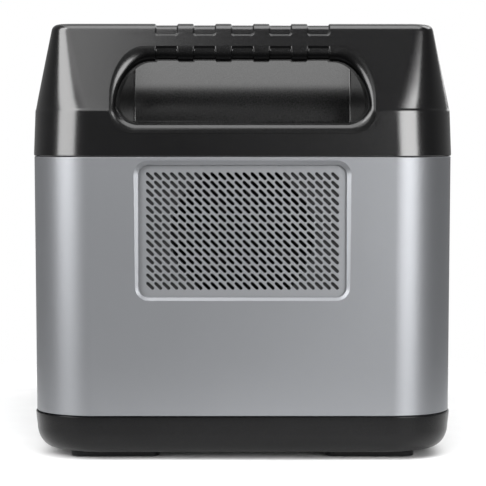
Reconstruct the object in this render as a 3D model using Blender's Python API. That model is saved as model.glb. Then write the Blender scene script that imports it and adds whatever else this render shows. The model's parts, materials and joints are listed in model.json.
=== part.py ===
"""Portable power station with a carrying handle over a well at each short end.

Frame: X across, Y along the long axis, Z up, origin under the middle at floor level. The intake end
faces -Y and the exhaust end faces +Y. The control panel is in the +X side. Metres throughout.
"""

import math

import bmesh
import bpy
from mathutils import Matrix

# Driving dimensions.
HALF_WIDTH = 0.1312
HALF_LENGTH = 0.192
HEIGHT = 0.270
CORNER = 0.037
GAP = 0.0003

# Heights of the parting lines.
PAD_HEIGHT = 0.001
UNDERSIDE = 0.0036
SLEEVE_LOW = 0.028
SLEEVE_HIGH = 0.188
CREASE = 0.2165
DECK = HEIGHT - 0.003

# Walls.
SLEEVE_WALL = 0.0028
COVER_WALL = 0.003
LINER_WALL = 0.0025
BASE_WALL = 0.003

# The end is this much further from the middle than the side is.
END_EXTRA = HALF_LENGTH - HALF_WIDTH
SHOULDER_SLOPE = 0.2289

# Outer skins as (height, half width, corner radius).
COVER_PROFILE = (
    (SLEEVE_HIGH + GAP, HALF_WIDTH, CORNER),
    (CREASE - 0.0005, 0.1302, CORNER),
    (CREASE + 0.001, 0.1299, 0.0365),
    (0.2625, 0.1196, 0.018),
    (0.2665, 0.1183, 0.017),
    (0.2690, 0.1160, 0.0155),
    (HEIGHT, 0.1120, 0.013),
)
SLEEVE_PROFILE = ((SLEEVE_LOW, 0.1301, CORNER), (SLEEVE_HIGH, 0.1309, CORNER))
BASE_PROFILE = (
    (UNDERSIDE, 0.1180, 0.030),
    (0.0050, 0.1218, 0.032),
    (0.0080, 0.1249, 0.034),
    (0.0110, 0.1272, 0.035),
    (0.0140, 0.1287, 0.036),
    (0.0175, 0.1297, CORNER),
    (SLEEVE_LOW - GAP, 0.1307, CORNER),
)

# Hand opening in the end, as seen from the end: outer edge of the lip, and the opening itself.
LIP_HALF, LIP_LOW, LIP_HIGH = 0.0816, 0.2026, 0.2560
OPENING_HALF, OPENING_LOW, OPENING_HIGH = 0.0777, 0.2084, 0.2480
BAR_BACK_Y = 0.155
WELL_FLOOR = 0.2060
WELL_BACK_Y = 0.127
WELL_BEND = 0.2220
WELL_LEAN = 0.48  # how far the back wall leans back for each metre of height
POCKETS = 5
POCKET_WIDTH, POCKET_PITCH, POCKET_DEPTH = 0.0143, 0.0234, 0.001
UPPER_POCKET_LOW = 0.2623

# Vent window and grille.
VENT_HALF_X, VENT_HALF_Z, VENT_Z, VENT_CORNER = 0.0663, 0.043, 0.1423, 0.0085
VENT_BEVEL, VENT_BEVEL_DEPTH = 0.0022, 0.0008
SLOT_COLUMNS, SLOT_ROWS = 12, 7  # one coarse slot stands for two by two of the fine ones
SLOT_FIELD_X, SLOT_FIELD_Z = 0.1089, 0.0624
SLOT_LENGTH, SLOT_WIDTH, SLOT_SLANT = 0.0108, 0.0031, math.radians(-44.0)
GRILLE_Y, GRILLE_THICK = 0.18725, 0.0015
FAN_Z, FAN_SIZE, FAN_DEPTH, DUCT_RADIUS = 0.140, 0.092, 0.025, 0.0443
FAN_FACE_Y = 0.1860
HUB_RADIUS, HUB_LOW, HUB_HIGH = 0.0165, -0.0105, 0.0075
FILTER_THICK = 0.0015

# Feet and screws under the base, in from the sides and the ends.
FOOT_X, FOOT_Y, FOOT_HALF_X, FOOT_HALF_Y = 0.07975, 0.134, 0.02775, 0.034
SCREW_X, SCREW_Y = 0.095, 0.078

# Storage lid and tray.
LID_LOW_X, LID_HIGH_X, LID_HALF_Y = -0.1035, 0.0960, 0.0900
LID_RADIUS = 0.0036
LID_AXIS_Z = 0.2659
TRAY_WALL = 0.0030
TRAY_FLOOR = 0.2145

# Control panel.
PANEL_HALF_Y, PANEL_HALF_Z, PANEL_Z = 0.126, 0.059, 0.110
PANEL_BACK, PANEL_FACE = 0.1240, 0.1270
THROUGH_PANEL = (0.10, 0.15)
FLANGE = 0.0012
BUTTON_Z, DATA_PORT_Z = 0.119, 0.086

WIDE_STEPS = 6
ROUND = 20


def clear_scene():
    for old in list(bpy.data.objects):
        bpy.data.objects.remove(old, do_unlink=True)


def material(name, colour, roughness, metallic=0.0):
    made = bpy.data.materials.get(name)
    if made is None:
        made = bpy.data.materials.new(name)
        made.use_nodes = True
        shader = made.node_tree.nodes["Principled BSDF"]
        shader.inputs["Base Color"].default_value = (*colour, 1.0)
        shader.inputs["Roughness"].default_value = roughness
        shader.inputs["Metallic"].default_value = metallic
    return made


def black_plastic():
    return material("black_plastic", (0.02, 0.02, 0.021), 0.42)


def grey_plastic():
    return material("grey_plastic", (0.14, 0.14, 0.15), 0.45)


def silver():
    return material("silver", (0.33, 0.34, 0.36), 0.38, 0.6)


def filter_foam():
    return material("filter_foam", (0.012, 0.012, 0.012), 0.9)


def rubber():
    return material("rubber", (0.015, 0.015, 0.015), 0.8)


def steel():
    return material("steel", (0.55, 0.55, 0.56), 0.3, 1.0)


def brass():
    return material("brass", (0.75, 0.58, 0.25), 0.3, 1.0)


def glass():
    return material("glass", (0.02, 0.025, 0.03), 0.05)


def aluminium():
    return material("aluminium", (0.7, 0.7, 0.71), 0.35, 1.0)


def board_green():
    return material("board_green", (0.02, 0.12, 0.05), 0.5)


def wrap_blue():
    return material("wrap_blue", (0.02, 0.08, 0.22), 0.4)


# Outlines: lists of (a, b) points, anticlockwise.


def circle(radius, steps=ROUND, at=(0.0, 0.0)):
    turns = [2 * math.pi * (i + 0.5) / steps for i in range(steps)]
    return [(at[0] + radius * math.cos(t), at[1] + radius * math.sin(t)) for t in turns]


def rounded(half_a, half_b, radius, steps=3, at=(0.0, 0.0)):
    points = []
    for quarter, (sign_a, sign_b) in enumerate(((1, 1), (-1, 1), (-1, -1), (1, -1))):
        centre = (at[0] + sign_a * (half_a - radius), at[1] + sign_b * (half_b - radius))
        for i in range(steps + 1):
            t = math.pi / 2 * (quarter + i / steps)
            points.append((centre[0] + radius * math.cos(t), centre[1] + radius * math.sin(t)))
    return points


def opening_outline(half, low, high, grow=0.0, steps=WIDE_STEPS):
    """Hand opening: upper corners are quarter ellipses, lower corners are round."""
    half, low, high = half + grow, low - grow, high + grow
    across, down, low_radius = 0.0212 + grow, 0.031 + grow, 0.0135 + grow
    points = []
    corners = (
        (half - across, high - down, across, down, 0),
        (across - half, high - down, across, down, 1),
        (low_radius - half, low + low_radius, low_radius, low_radius, 2),
        (half - low_radius, low + low_radius, low_radius, low_radius, 3),
    )
    for a, b, radius_a, radius_b, quarter in corners:
        for i in range(steps + 1):
            t = math.pi / 2 * (quarter + i / steps)
            points.append((a + radius_a * math.cos(t), b + radius_b * math.sin(t)))
    return points


def end_face_y(z):
    """Distance of the top cover's end face from the middle at height z."""
    if z <= CREASE:
        return HALF_LENGTH - (z - SLEEVE_HIGH) * 0.036
    return 0.1300 + END_EXTRA - (z - CREASE) * SHOULDER_SLOPE


# Solids.


def add_loft(bm, rings):
    """A closed skin through rings of equally many points, with a flat cap at each end."""
    made = [[bm.verts.new(point) for point in ring] for ring in rings]
    count = len(rings[0])
    for low, high in zip(made, made[1:]):
        for i in range(count):
            j = (i + 1) % count
            bm.faces.new((low[i], low[j], high[j], high[i]))
    bm.faces.new(made[0][::-1])
    bm.faces.new(made[-1])


def in_space(outline, level, axis):
    if axis == "X":
        return [(level, a, b) for a, b in outline]
    if axis == "Y":
        return [(a, level, b) for a, b in outline]
    return [(a, b, level) for a, b in outline]


def add_prism(bm, outline, low, high, axis):
    add_loft(bm, [in_space(outline, low, axis), in_space(outline, high, axis)])


def add_box(bm, low, high):
    corners = [(low[0], low[1]), (high[0], low[1]), (high[0], high[1]), (low[0], high[1])]
    add_prism(bm, corners, low[2], high[2], "Z")


def skin_rings(profile, inset=0.0):
    rings = []
    for z, half, radius in profile:
        outline = rounded(
            half - inset, half + END_EXTRA - inset, max(radius - inset, 0.006), WIDE_STEPS
        )
        rings.append(in_space(outline, z, "Z"))
    return rings


def finish(name, bm, finish_material, at=(0.0, 0.0, 0.0), turn_end=False):
    """Makes the object. With turn_end the shape, made for the intake end, goes to the other end."""
    if turn_end:
        bmesh.ops.rotate(bm, verts=bm.verts, matrix=Matrix.Rotation(math.pi, 3, "Z"))
    bmesh.ops.recalc_face_normals(bm, faces=bm.faces)
    mesh = bpy.data.meshes.new(name)
    bm.to_mesh(mesh)
    bm.free()
    mesh.shade_smooth()
    mesh.set_sharp_from_angle(angle=math.radians(35))
    made = bpy.data.objects.new(name, mesh)
    made.location = at
    bpy.context.scene.collection.objects.link(made)
    if finish_material:
        mesh.materials.append(finish_material)
    else:
        made.hide_render = True
        made.display_type = "WIRE"
    return made


def boolean(target, kind, tool):
    modifier = target.modifiers.new(kind.lower(), "BOOLEAN")
    modifier.operation = kind
    modifier.solver = "MANIFOLD"
    modifier.object = tool


def cut(target, build, turn_end=False, kind="DIFFERENCE", at=(0.0, 0.0, 0.0)):
    """Cuts, joins or crosses the target with the shape that build adds to an empty mesh."""
    bm = bmesh.new()
    build(bm)
    boolean(target, kind, finish(f"tool_{target.name}", bm, None, at, turn_end))


def solid(name, build, finish_material, at=(0.0, 0.0, 0.0), turn_end=False):
    bm = bmesh.new()
    build(bm)
    return finish(name, bm, finish_material, at, turn_end)


# Housing.


def make_base():
    base = solid("base_tray", lambda bm: add_loft(bm, skin_rings(BASE_PROFILE)), black_plastic())
    floor = (UNDERSIDE + BASE_WALL, 0.1249, 0.034)
    inner = (floor, *BASE_PROFILE[3:], (SLEEVE_LOW + 0.01, 0.1307, CORNER))
    cut(base, lambda bm: add_loft(bm, skin_rings(inner, BASE_WALL)))
    for index, (side, end) in enumerate(((-1, -1), (1, -1), (-1, 1), (1, 1)), start=1):
        place_foot(base, index, (side * FOOT_X, end * FOOT_Y))
        place_screw(base, index, (side * SCREW_X, end * SCREW_Y))


def foot_outline(inset, spot):
    return rounded(FOOT_HALF_X - inset, FOOT_HALF_Y - inset, 0.006 - inset / 3, 2, spot)


def place_foot(base, index, spot):
    """A foot moulded on the base, with a thin rubber pad under it."""

    def foot(bm):
        top = in_space(foot_outline(0.0, spot), UNDERSIDE + 0.001, "Z")
        bottom = in_space(foot_outline(0.002, spot), PAD_HEIGHT + GAP, "Z")
        add_loft(bm, [top, bottom])

    def pad(bm):
        add_prism(bm, foot_outline(0.003, spot), 0.0, PAD_HEIGHT, "Z")

    cut(base, foot, kind="UNION")
    solid(f"foot_pad_{index}", pad, rubber())


def place_screw(base, index, spot):
    """A boss inside the base, with a screw whose head is sunk in the underside."""
    head_radius, shank_radius, boss_radius, boss_top = 0.0036, 0.0018, 0.0055, 0.018
    head_low, head_high = UNDERSIDE + 0.0004, UNDERSIDE + 0.0022

    def post(radius, low, high):
        return lambda bm: add_prism(bm, circle(radius, 12, spot), low, high, "Z")

    cut(base, post(boss_radius, UNDERSIDE + 0.001, boss_top), kind="UNION")
    cut(base, post(shank_radius + GAP, 0.0, boss_top + 0.01))
    cut(base, post(head_radius + GAP, 0.0, head_high + GAP))

    def shape(bm):
        stations = (
            (head_radius, head_low),
            (head_radius, head_high),
            (shank_radius, head_high),
            (shank_radius, boss_top + 0.002),
        )
        add_loft(bm, [in_space(circle(radius, 12, spot), z, "Z") for radius, z in stations])

    solid(f"base_screw_{index}", shape, steel())


def vent_outline(grow, steps, z=VENT_Z):
    return rounded(VENT_HALF_X + grow, VENT_HALF_Z + grow, VENT_CORNER + grow, steps, (0.0, z))


def make_sleeve():
    def shell(bm):
        outer = skin_rings(SLEEVE_PROFILE)
        inner = skin_rings(SLEEVE_PROFILE, SLEEVE_WALL)
        loops = [[bm.verts.new(p) for p in ring] for ring in (*outer, *inner[::-1])]
        for first, second in zip(loops, loops[1:] + loops[:1]):
            for i in range(len(first)):
                j = (i + 1) % len(first)
                bm.faces.new((first[i], first[j], second[j], second[i]))

    def window(bm):
        face = 0.1306 + END_EXTRA
        slant = (VENT_BEVEL_DEPTH, -VENT_BEVEL)
        steps = ((-slant[0], -slant[1]), (0.0, 0.0), slant, (0.010, -VENT_BEVEL))
        rings = []
        for depth, grow in steps:
            rings.append(in_space(vent_outline(grow, 4), depth - face, "Y"))
        add_loft(bm, rings)

    sleeve = solid("body_sleeve", shell, silver())
    cut(sleeve, window)
    cut(sleeve, window, turn_end=True)
    side_window = rounded(PANEL_HALF_Y, PANEL_HALF_Z, 0.010, 4, (0.0, PANEL_Z))
    cut(sleeve, lambda bm: add_prism(bm, side_window, *THROUGH_PANEL, "X"))


def slot_outlines():
    """Corners of every slanted slot of the lattice, drawn flat."""
    along = (math.cos(SLOT_SLANT) * SLOT_LENGTH / 2, math.sin(SLOT_SLANT) * SLOT_LENGTH / 2)
    across = (-math.sin(SLOT_SLANT) * SLOT_WIDTH / 2, math.cos(SLOT_SLANT) * SLOT_WIDTH / 2)
    outlines = []
    for column in range(SLOT_COLUMNS):
        for row in range(SLOT_ROWS):
            x = (column / (SLOT_COLUMNS - 1) - 0.5) * SLOT_FIELD_X
            z = (row / (SLOT_ROWS - 1) - 0.5) * SLOT_FIELD_Z
            outline = []
            for a, b in ((1, 1), (-1, 1), (-1, -1), (1, -1)):
                outline.append((x + a * along[0] + b * across[0], z + a * along[1] + b * across[1]))
            outlines.append(outline)
    return outlines


def make_grille(end, turn_end):
    """A plate with a lattice of slanted slots, drawn flat and stood up behind the vent window."""
    name = f"vent_grille_{end}"
    curve = bpy.data.curves.new(name, "CURVE")
    curve.dimensions = "2D"
    curve.fill_mode = "BOTH"
    curve.extrude = GRILLE_THICK / 2
    for outline in (vent_outline(0.004, 3, 0.0), *slot_outlines()):
        spline = curve.splines.new("POLY")
        spline.points.add(len(outline) - 1)
        spline.use_cyclic_u = True
        for point, (a, b) in zip(spline.points, outline):
            point.co = (a, b, 0.0, 1.0)
    curve.materials.append(silver())
    grille = bpy.data.objects.new(name, curve)
    grille.rotation_euler = (math.pi / 2, 0.0, math.pi if turn_end else 0.0)
    grille.location = (0.0, GRILLE_Y if turn_end else -GRILLE_Y, VENT_Z)
    bpy.context.scene.collection.objects.link(grille)


def add_blades(bm):
    """Twisted fan blades round an upright hub on the Y axis."""
    count, chord, half_thick = 7, 0.62, 0.0006
    for k in range(count):
        turn = 2 * math.pi * k / count
        rings = []
        for radius, pitch in ((HUB_RADIUS - 0.001, 0.60), (0.028, 0.48), (0.0425, 0.38)):
            ring = []
            for lead, side in ((-0.5, 1), (0.5, 1), (0.5, -1), (-0.5, -1)):
                angle = turn + lead * chord
                depth = side * half_thick - lead * chord * radius * math.tan(pitch) * 0.62 - 0.0015
                ring.append((radius * math.cos(angle), depth, radius * math.sin(angle)))
            rings.append(ring)
        add_loft(bm, rings)


def add_struts(bm, back):
    """Four arms that hold the fan's motor seat in the middle of the duct."""
    thick, half, inner, outer = 0.003, 0.002, 0.012, DUCT_RADIUS + 0.0015
    for side in (-1, 1):
        low, high = sorted((side * inner, side * outer))
        add_box(bm, (low, -back - thick, FAN_Z - half), (high, -back, FAN_Z + half))
        add_box(bm, (-half, -back - thick, FAN_Z + low), (half, -back, FAN_Z + high))


def make_fan(end, turn_end):
    """A fan frame with a flange as wide as the vent, its rotor, and a sheet of filter foam."""
    face, back, half = FAN_FACE_Y, FAN_FACE_Y - FAN_DEPTH, FAN_SIZE / 2
    centre = (0.0, FAN_Z)
    block, flange = rounded(half, half, 0.005, 2, centre), vent_outline(0.0, 3)
    bore, seat = circle(DUCT_RADIUS, 32, centre), circle(0.0155, 16, centre)
    frame = solid(
        f"fan_frame_{end}",
        lambda bm: add_prism(bm, block, -face, -back, "Y"),
        black_plastic(),
        turn_end=turn_end,
    )
    cut(frame, lambda bm: add_prism(bm, flange, -face, -face + FLANGE, "Y"), turn_end, "UNION")
    cut(frame, lambda bm: add_prism(bm, bore, -face - 0.01, -back + 0.01, "Y"), turn_end)
    cut(frame, lambda bm: add_struts(bm, back), turn_end, "UNION")
    cut(frame, lambda bm: add_prism(bm, seat, -back - 0.0032, -back + 0.0004, "Y"), turn_end, "UNION")
    at = (0.0, (face + back) / 2 * (1 if turn_end else -1), FAN_Z)
    hub = circle(HUB_RADIUS)
    rotor = solid(
        f"fan_rotor_{end}",
        lambda bm: add_prism(bm, hub, HUB_LOW, HUB_HIGH, "Y"),
        black_plastic(),
        at,
        turn_end,
    )
    cut(rotor, add_blades, turn_end, "UNION", at)
    foam = rounded(half - 0.001, half - 0.001, 0.004, 2, centre)
    front = -back + 0.0004 + GAP
    solid(
        f"dust_filter_{end}",
        lambda bm: add_prism(bm, foam, front, front + FILTER_THICK, "Y"),
        filter_foam(),
        turn_end=turn_end,
    )


# Top cover, handles and wells. Shapes are made for the intake end and turned round for the other.


def well_plan(grow, back_y):
    """Plan of the well, open towards the bar: a little narrower at the back, with round back corners."""
    front, front_half, back_half, radius = BAR_BACK_Y, 0.0772 + grow, 0.0717 + grow, 0.009 + grow
    back = back_y - grow
    points = [(front_half, -front)]
    for start, centre_x in ((0, back_half - radius), (1, radius - back_half)):
        for i in range(5):
            t = math.pi / 2 * (start + i / 4)
            points.append((centre_x + radius * math.cos(t), -back - radius + radius * math.sin(t)))
    points.append((-front_half, -front))
    return points


def well_rings(grow, low, high, front_shift=0.0):
    """The well leans back from its bend up to the deck, and runs straight up from there."""
    rings = []
    deck = HEIGHT - GAP
    for z in (low, WELL_BEND, (WELL_BEND + deck) / 2, deck, high):
        back_y = WELL_BACK_Y - max(0.0, min(z, deck) - WELL_BEND) * WELL_LEAN
        if z <= (rings[-1][0][2] if rings else 0.0):
            continue
        rings.append([(x, max(y, front_shift - BAR_BACK_Y), z) for x, y in well_plan(grow, back_y)])
    return rings


def pocket_tool(bm, outline):
    for k in range(POCKETS):
        x = (k - (POCKETS - 1) / 2) * POCKET_PITCH
        add_prism(bm, outline, x - POCKET_WIDTH / 2, x + POCKET_WIDTH / 2, "X")


def upper_pockets(bm):
    """Cuts the front and the top of the bar back by the pocket depth."""
    depth, low = POCKET_DEPTH, UPPER_POCKET_LOW
    outline = [
        (-0.21, low),
        (depth - end_face_y(low), low),
        (depth - 0.1791, 0.2662),
        (depth - 0.1767, 0.2684),
        (-0.1728, HEIGHT - depth),
        (-0.150, HEIGHT - depth),
        (-0.150, 0.285),
        (-0.21, 0.285),
    ]
    pocket_tool(bm, outline)


def lower_pockets(bm):
    """Cuts the front and the underside of the bar back by the pocket depth."""
    depth, top = POCKET_DEPTH, LIP_HIGH + 0.001
    outline = [
        (-0.21, top),
        (-0.21, 0.240),
        (-0.148, 0.240),
        (-0.148, OPENING_HIGH + depth),
        (-0.1760, OPENING_HIGH + depth),
        (-0.1800, 0.2515),
        (depth - end_face_y(top), top),
    ]
    pocket_tool(bm, outline)


def back_pockets(low, high):
    """Cuts the back of the bar the same way, between two heights."""
    face = -BAR_BACK_Y - POCKET_DEPTH
    outline = [(face, low), (face + 0.004, low), (face + 0.004, high), (face, high)]
    return lambda bm: pocket_tool(bm, outline)


def make_top_cover():
    cover = solid("top_cover", lambda bm: add_loft(bm, skin_rings(COVER_PROFILE)), black_plastic())
    slope = COVER_PROFILE[:4]
    under = ((SLEEVE_HIGH - 0.01, HALF_WIDTH, CORNER), *slope, (DECK, 0.1175, 0.0165))
    cavity = solid("tool_cover_cavity", lambda bm: add_loft(bm, skin_rings(under, COVER_WALL)), None)
    for turn_end in (False, True):
        cut(cavity, lambda b: add_box(b, (-0.088, -0.25, 0.2540), (0.088, -0.1525, 0.30)), turn_end)
    boolean(cover, "DIFFERENCE", cavity)
    for turn_end in (False, True):
        cut(
            cover,
            lambda b: add_prism(
                b, opening_outline(LIP_HALF, LIP_LOW, LIP_HIGH, GAP), -0.25, -0.150, "Y"
            ),
            turn_end,
        )
        cut(cover, lambda b: add_loft(b, well_rings(LINER_WALL + GAP, 0.18, 0.30)), turn_end)
        cut(cover, lambda b: add_box(b, (-0.060, -0.177, 0.25), (0.060, -0.160, 0.2655)), turn_end)
        cut(cover, upper_pockets, turn_end)
        cut(cover, back_pockets(UPPER_POCKET_LOW, 0.28), turn_end)
    low_x, high_x, half_y = tray_outline(GAP)
    cut(cover, lambda b: add_box(b, (low_x, -half_y, 0.25), (high_x, half_y, 0.30)))


def make_liner(end, turn_end):
    def block(bm):
        add_prism(bm, opening_outline(LIP_HALF, LIP_LOW, LIP_HIGH), -0.21, -0.150, "Y")

    def window(bm):
        rings = []
        for depth, share in ((-0.03, 1.25), (-0.0003, 1.02), (0.0015, 0.45), (0.0045, 0.08), (0.0080, 0.0)):
            half = OPENING_HALF + share * (LIP_HALF - OPENING_HALF)
            low = OPENING_LOW + share * (LIP_LOW - OPENING_LOW)
            high = OPENING_HIGH + share * (LIP_HIGH - OPENING_HIGH)
            ring = [(x, depth - end_face_y(z), z) for x, z in opening_outline(half, low, high)]
            rings.append(ring)
        rings.append([(x, -0.1535, z) for x, y, z in rings[-1]])
        add_loft(bm, rings)

    liner = solid(f"handle_liner_{end}", block, black_plastic(), turn_end=turn_end)
    cut(liner, lambda bm: add_loft(bm, skin_rings(COVER_PROFILE)), turn_end, "INTERSECT")
    cut(
        liner,
        lambda bm: add_loft(bm, well_rings(LINER_WALL, WELL_FLOOR - LINER_WALL, HEIGHT - GAP, GAP)),
        turn_end,
        "UNION",
    )
    cut(liner, lambda bm: add_loft(bm, well_rings(0.0, WELL_FLOOR, 0.30)), turn_end)
    cut(liner, window, turn_end)
    cut(liner, lower_pockets, turn_end)
    cut(liner, back_pockets(0.2450, LIP_HIGH + 0.001), turn_end)


def tray_outline(grow):
    return (
        LID_LOW_X - LID_RADIUS - 0.0009 - TRAY_WALL - grow,
        LID_HIGH_X + 0.0006 + TRAY_WALL + grow,
        LID_HALF_Y + 0.0005 + TRAY_WALL + grow,
    )


def make_tray_and_lid():
    low_x, high_x, half_y = tray_outline(0.0)
    flange, ledge_z, ledge = 0.003, 0.2615, 0.006

    def body(bm):
        add_box(bm, (low_x, -half_y, TRAY_FLOOR - 0.002), (high_x, half_y, HEIGHT - 0.0005))

    def rim(bm):
        add_box(
            bm,
            (low_x - flange, -half_y - flange, DECK - GAP - 0.003),
            (high_x + flange, half_y + flange, DECK - GAP),
        )

    def store(bm):
        middle = ((high_x + low_x) / 2, 0.0)
        half_x = (high_x - low_x) / 2 - TRAY_WALL - ledge
        outline = rounded(half_x, half_y - TRAY_WALL - ledge, 0.010, 3, middle)
        add_prism(bm, outline, TRAY_FLOOR, 0.30, "Z")

    def recess(bm):
        add_box(
            bm,
            (low_x + TRAY_WALL, TRAY_WALL - half_y, ledge_z),
            (high_x - TRAY_WALL, half_y - TRAY_WALL, 0.30),
        )

    tray = solid("cable_tray", body, black_plastic())
    cut(tray, rim, kind="UNION")
    cut(tray, store)
    cut(tray, recess)

    pin_radius, bore_radius, pin_steps = 0.0015, 0.00162, 16
    axis = (LID_LOW_X, 0.0, LID_AXIS_Z)

    far, edge, border = LID_HIGH_X - LID_LOW_X, 0.001, 0.008

    def lid_body(bm):
        turns = [math.pi / 2 + math.pi * i / 8 for i in range(9)]
        outline = [(LID_RADIUS * math.cos(t), LID_RADIUS * math.sin(t)) for t in turns]
        outline += [(far - edge, -LID_RADIUS), (far, edge - LID_RADIUS)]
        outline += [(far, LID_RADIUS - edge), (far - edge, LID_RADIUS)]
        add_prism(bm, outline, -LID_HALF_Y, LID_HALF_Y, "Y")

    def lid_hollow(bm):
        add_box(bm, (0.012, border - LID_HALF_Y, -0.02), (far - 0.010, LID_HALF_Y - border, 0.0006))

    def finger_notch(bm):
        add_prism(bm, rounded(0.006, 0.018, 0.004, 2, (far + 0.001, 0.0)), -0.02, 0.02, "Z")

    lid = solid("storage_lid", lid_body, black_plastic(), axis)
    cut(lid, lid_hollow, at=axis)
    cut(lid, finger_notch, at=axis)
    for index, side in ((1, -1), (2, 1)):
        outer, inner = side * half_y, side * (LID_HALF_Y - 0.009)
        span = sorted((outer - side * 0.0002, inner + side * 0.0003))
        hole = sorted((outer + side * 0.006, inner))
        bore = circle(bore_radius, pin_steps)
        for piece in (lid, tray):
            cut(piece, lambda bm, hole=hole: add_prism(bm, bore, *hole, "Y"), at=axis)
        solid(
            f"lid_hinge_pin_{index}",
            lambda bm, span=span: add_prism(bm, circle(pin_radius, pin_steps), *span, "Y"),
            steel(),
            axis,
        )


# Control panel: everything is placed on the panel by its (y, z) spot.


def make_panel():
    """A plate behind the sleeve's side window, larger than the window all round."""
    border = 0.005
    outline = rounded(PANEL_HALF_Y + border, PANEL_HALF_Z + border, 0.014, 4, (0.0, PANEL_Z))
    return solid(
        "control_panel", lambda bm: add_prism(bm, outline, PANEL_BACK, PANEL_FACE, "X"), black_plastic()
    )


def panel_hole(panel, outline):
    cut(panel, lambda bm: add_prism(bm, outline, *THROUGH_PANEL, "X"))


def insert(panel, name, spot, body, flange, depth, finish_material):
    """A piece that passes through the panel: a body in a hole, and a flange on the panel's face.

    body and flange are functions that give an outline for a growth and a centre.
    """
    panel_hole(panel, body(GAP, spot))

    def shape(bm):
        back = in_space(body(0.0, spot), PANEL_FACE - depth, "X")
        neck = in_space(body(0.0, spot), PANEL_FACE + GAP, "X")
        under = in_space(flange(0.0, spot), PANEL_FACE + GAP, "X")
        front = in_space(flange(-0.0003, spot), PANEL_FACE + GAP + FLANGE, "X")
        add_loft(bm, [back, neck, under, front])

    return solid(name, shape, finish_material)


def boxy(half_y, half_z, radius, steps=2):
    return lambda grow, at: rounded(half_y + grow, half_z + grow, radius + grow, steps, at)


def disc(radius, steps=ROUND):
    return lambda grow, at: circle(radius + grow, steps, at)


def socket_cut(piece, outlines, depth):
    front = PANEL_FACE + 0.01

    def shape(bm):
        for outline in outlines:
            add_prism(bm, outline, PANEL_FACE - depth, front, "X")

    cut(piece, shape)


def make_display(panel):
    spot, half_y, half_z, lens_back = (0.0, 0.1465), 0.0397, 0.0142, PANEL_FACE - 0.002
    lens = rounded(half_y, half_z, 0.0027, 2, spot)
    module = rounded(half_y - 0.0012, half_z - 0.0012, 0.001, 1, spot)
    board = rounded(0.052, 0.032, 0.002, 1, (0.0, 0.132))
    panel_hole(panel, rounded(half_y + GAP, half_z + GAP, 0.003, 2, spot))
    pieces = (
        ("display_lens", lens, lens_back, PANEL_FACE, glass),
        ("display_module", module, 0.1195, lens_back - GAP, grey_plastic),
        ("display_board", board, 0.1135, 0.1151, board_green),
    )
    for name, outline, back, front, finish_material in pieces:
        solid(name, lambda bm, o=outline, b=back, f=front: add_prism(bm, o, b, f, "X"), finish_material())


def make_buttons(panel):
    travel_room = 0.0006
    for name, y in (("display", -0.045), ("usb", -0.015), ("dc", 0.015), ("ac", 0.045)):
        spot = (y, BUTTON_Z)
        panel_hole(panel, rounded(0.0068, 0.0038, 0.0018, 2, spot))

        def shape(bm):
            back, front = PANEL_BACK - travel_room - PANEL_FACE, 0.0018
            flange, key = rounded(0.0085, 0.0055, 0.002, 2), rounded(0.0065, 0.0035, 0.0015, 2)
            top = rounded(0.0061, 0.0031, 0.0012, 2)
            stations = (
                (flange, back - 0.0012),
                (flange, back),
                (key, back),
                (key, front - 0.0004),
                (top, front),
            )
            add_loft(bm, [in_space(outline, x, "X") for outline, x in stations])

        solid(f"{name}_button", shape, grey_plastic(), (PANEL_FACE, y, BUTTON_Z))


def make_outlets(panel):
    for index, z in ((1, 0.137), (2, 0.083)):
        spot = (0.098, z)
        body, flange = boxy(0.0150, 0.0180, 0.003), boxy(0.0175, 0.0205, 0.004)
        outlet = insert(panel, f"mains_outlet_{index}", spot, body, flange, 0.020, grey_plastic())
        blades = [
            rounded(0.0011, half, 0.0003, 1, (spot[0] + side * 0.00635, spot[1] + 0.005))
            for side, half in ((-1, 0.0042), (1, 0.0036))
        ]
        socket_cut(outlet, [*blades, circle(0.0026, 12, (spot[0], spot[1] - 0.0075))], 0.009)


def add_tongue(port, outline, depth):
    """A tongue or pin that stands up inside a socket, just short of the panel's face."""
    low, high = PANEL_FACE - depth, PANEL_FACE - 0.001
    cut(port, lambda bm: add_prism(bm, outline, low, high, "X"), kind="UNION")


def usb_outline(half_y, half_z, tongue_gap):
    """The opening of a USB-A socket: a rectangle less its tongue along the upper side."""
    inner, under = half_y - tongue_gap, 0.0003
    outer = [(half_y, -half_z), (half_y, half_z)]
    tongue = [(inner, half_z), (inner, under), (-inner, under), (-inner, half_z)]
    return [*outer, *tongue, (-half_y, half_z), (-half_y, -half_z)]


def make_data_ports(panel):
    for index, y in ((1, -0.047), (2, -0.024)):
        spot = (y, DATA_PORT_Z)
        body, flange = boxy(0.0080, 0.0042, 0.0008, 1), boxy(0.0090, 0.0052, 0.0012, 1)
        port = insert(panel, f"usb_a_port_{index}", spot, body, flange, 0.014, steel())
        opening = [(spot[0] + a, spot[1] + b) for a, b in usb_outline(0.0062, 0.0025, 0.0008)]
        socket_cut(port, [opening], 0.010)
    for index, y in ((1, 0.0), (2, 0.020)):
        spot = (y, DATA_PORT_Z)
        body, flange = boxy(0.0056, 0.0028, 0.0026, 3), boxy(0.0066, 0.0038, 0.0036, 3)
        port = insert(panel, f"usb_c_port_{index}", spot, body, flange, 0.010, steel())
        socket_cut(port, [rounded(0.0045, 0.0016, 0.0015, 3, spot)], 0.0062)
        add_tongue(port, rounded(0.0033, 0.00035, 0.0002, 1, spot), 0.008)


def round_port(panel, name, spot, body_radius, hole_radius, pin_radius, depth):
    body, flange = disc(body_radius, 16), disc(body_radius + 0.0012, 16)
    port = insert(panel, name, spot, body, flange, depth + 0.003, black_plastic())
    socket_cut(port, [circle(hole_radius, 16, spot)], depth)
    add_tongue(port, circle(pin_radius, 8, spot), depth + 0.001)


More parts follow.
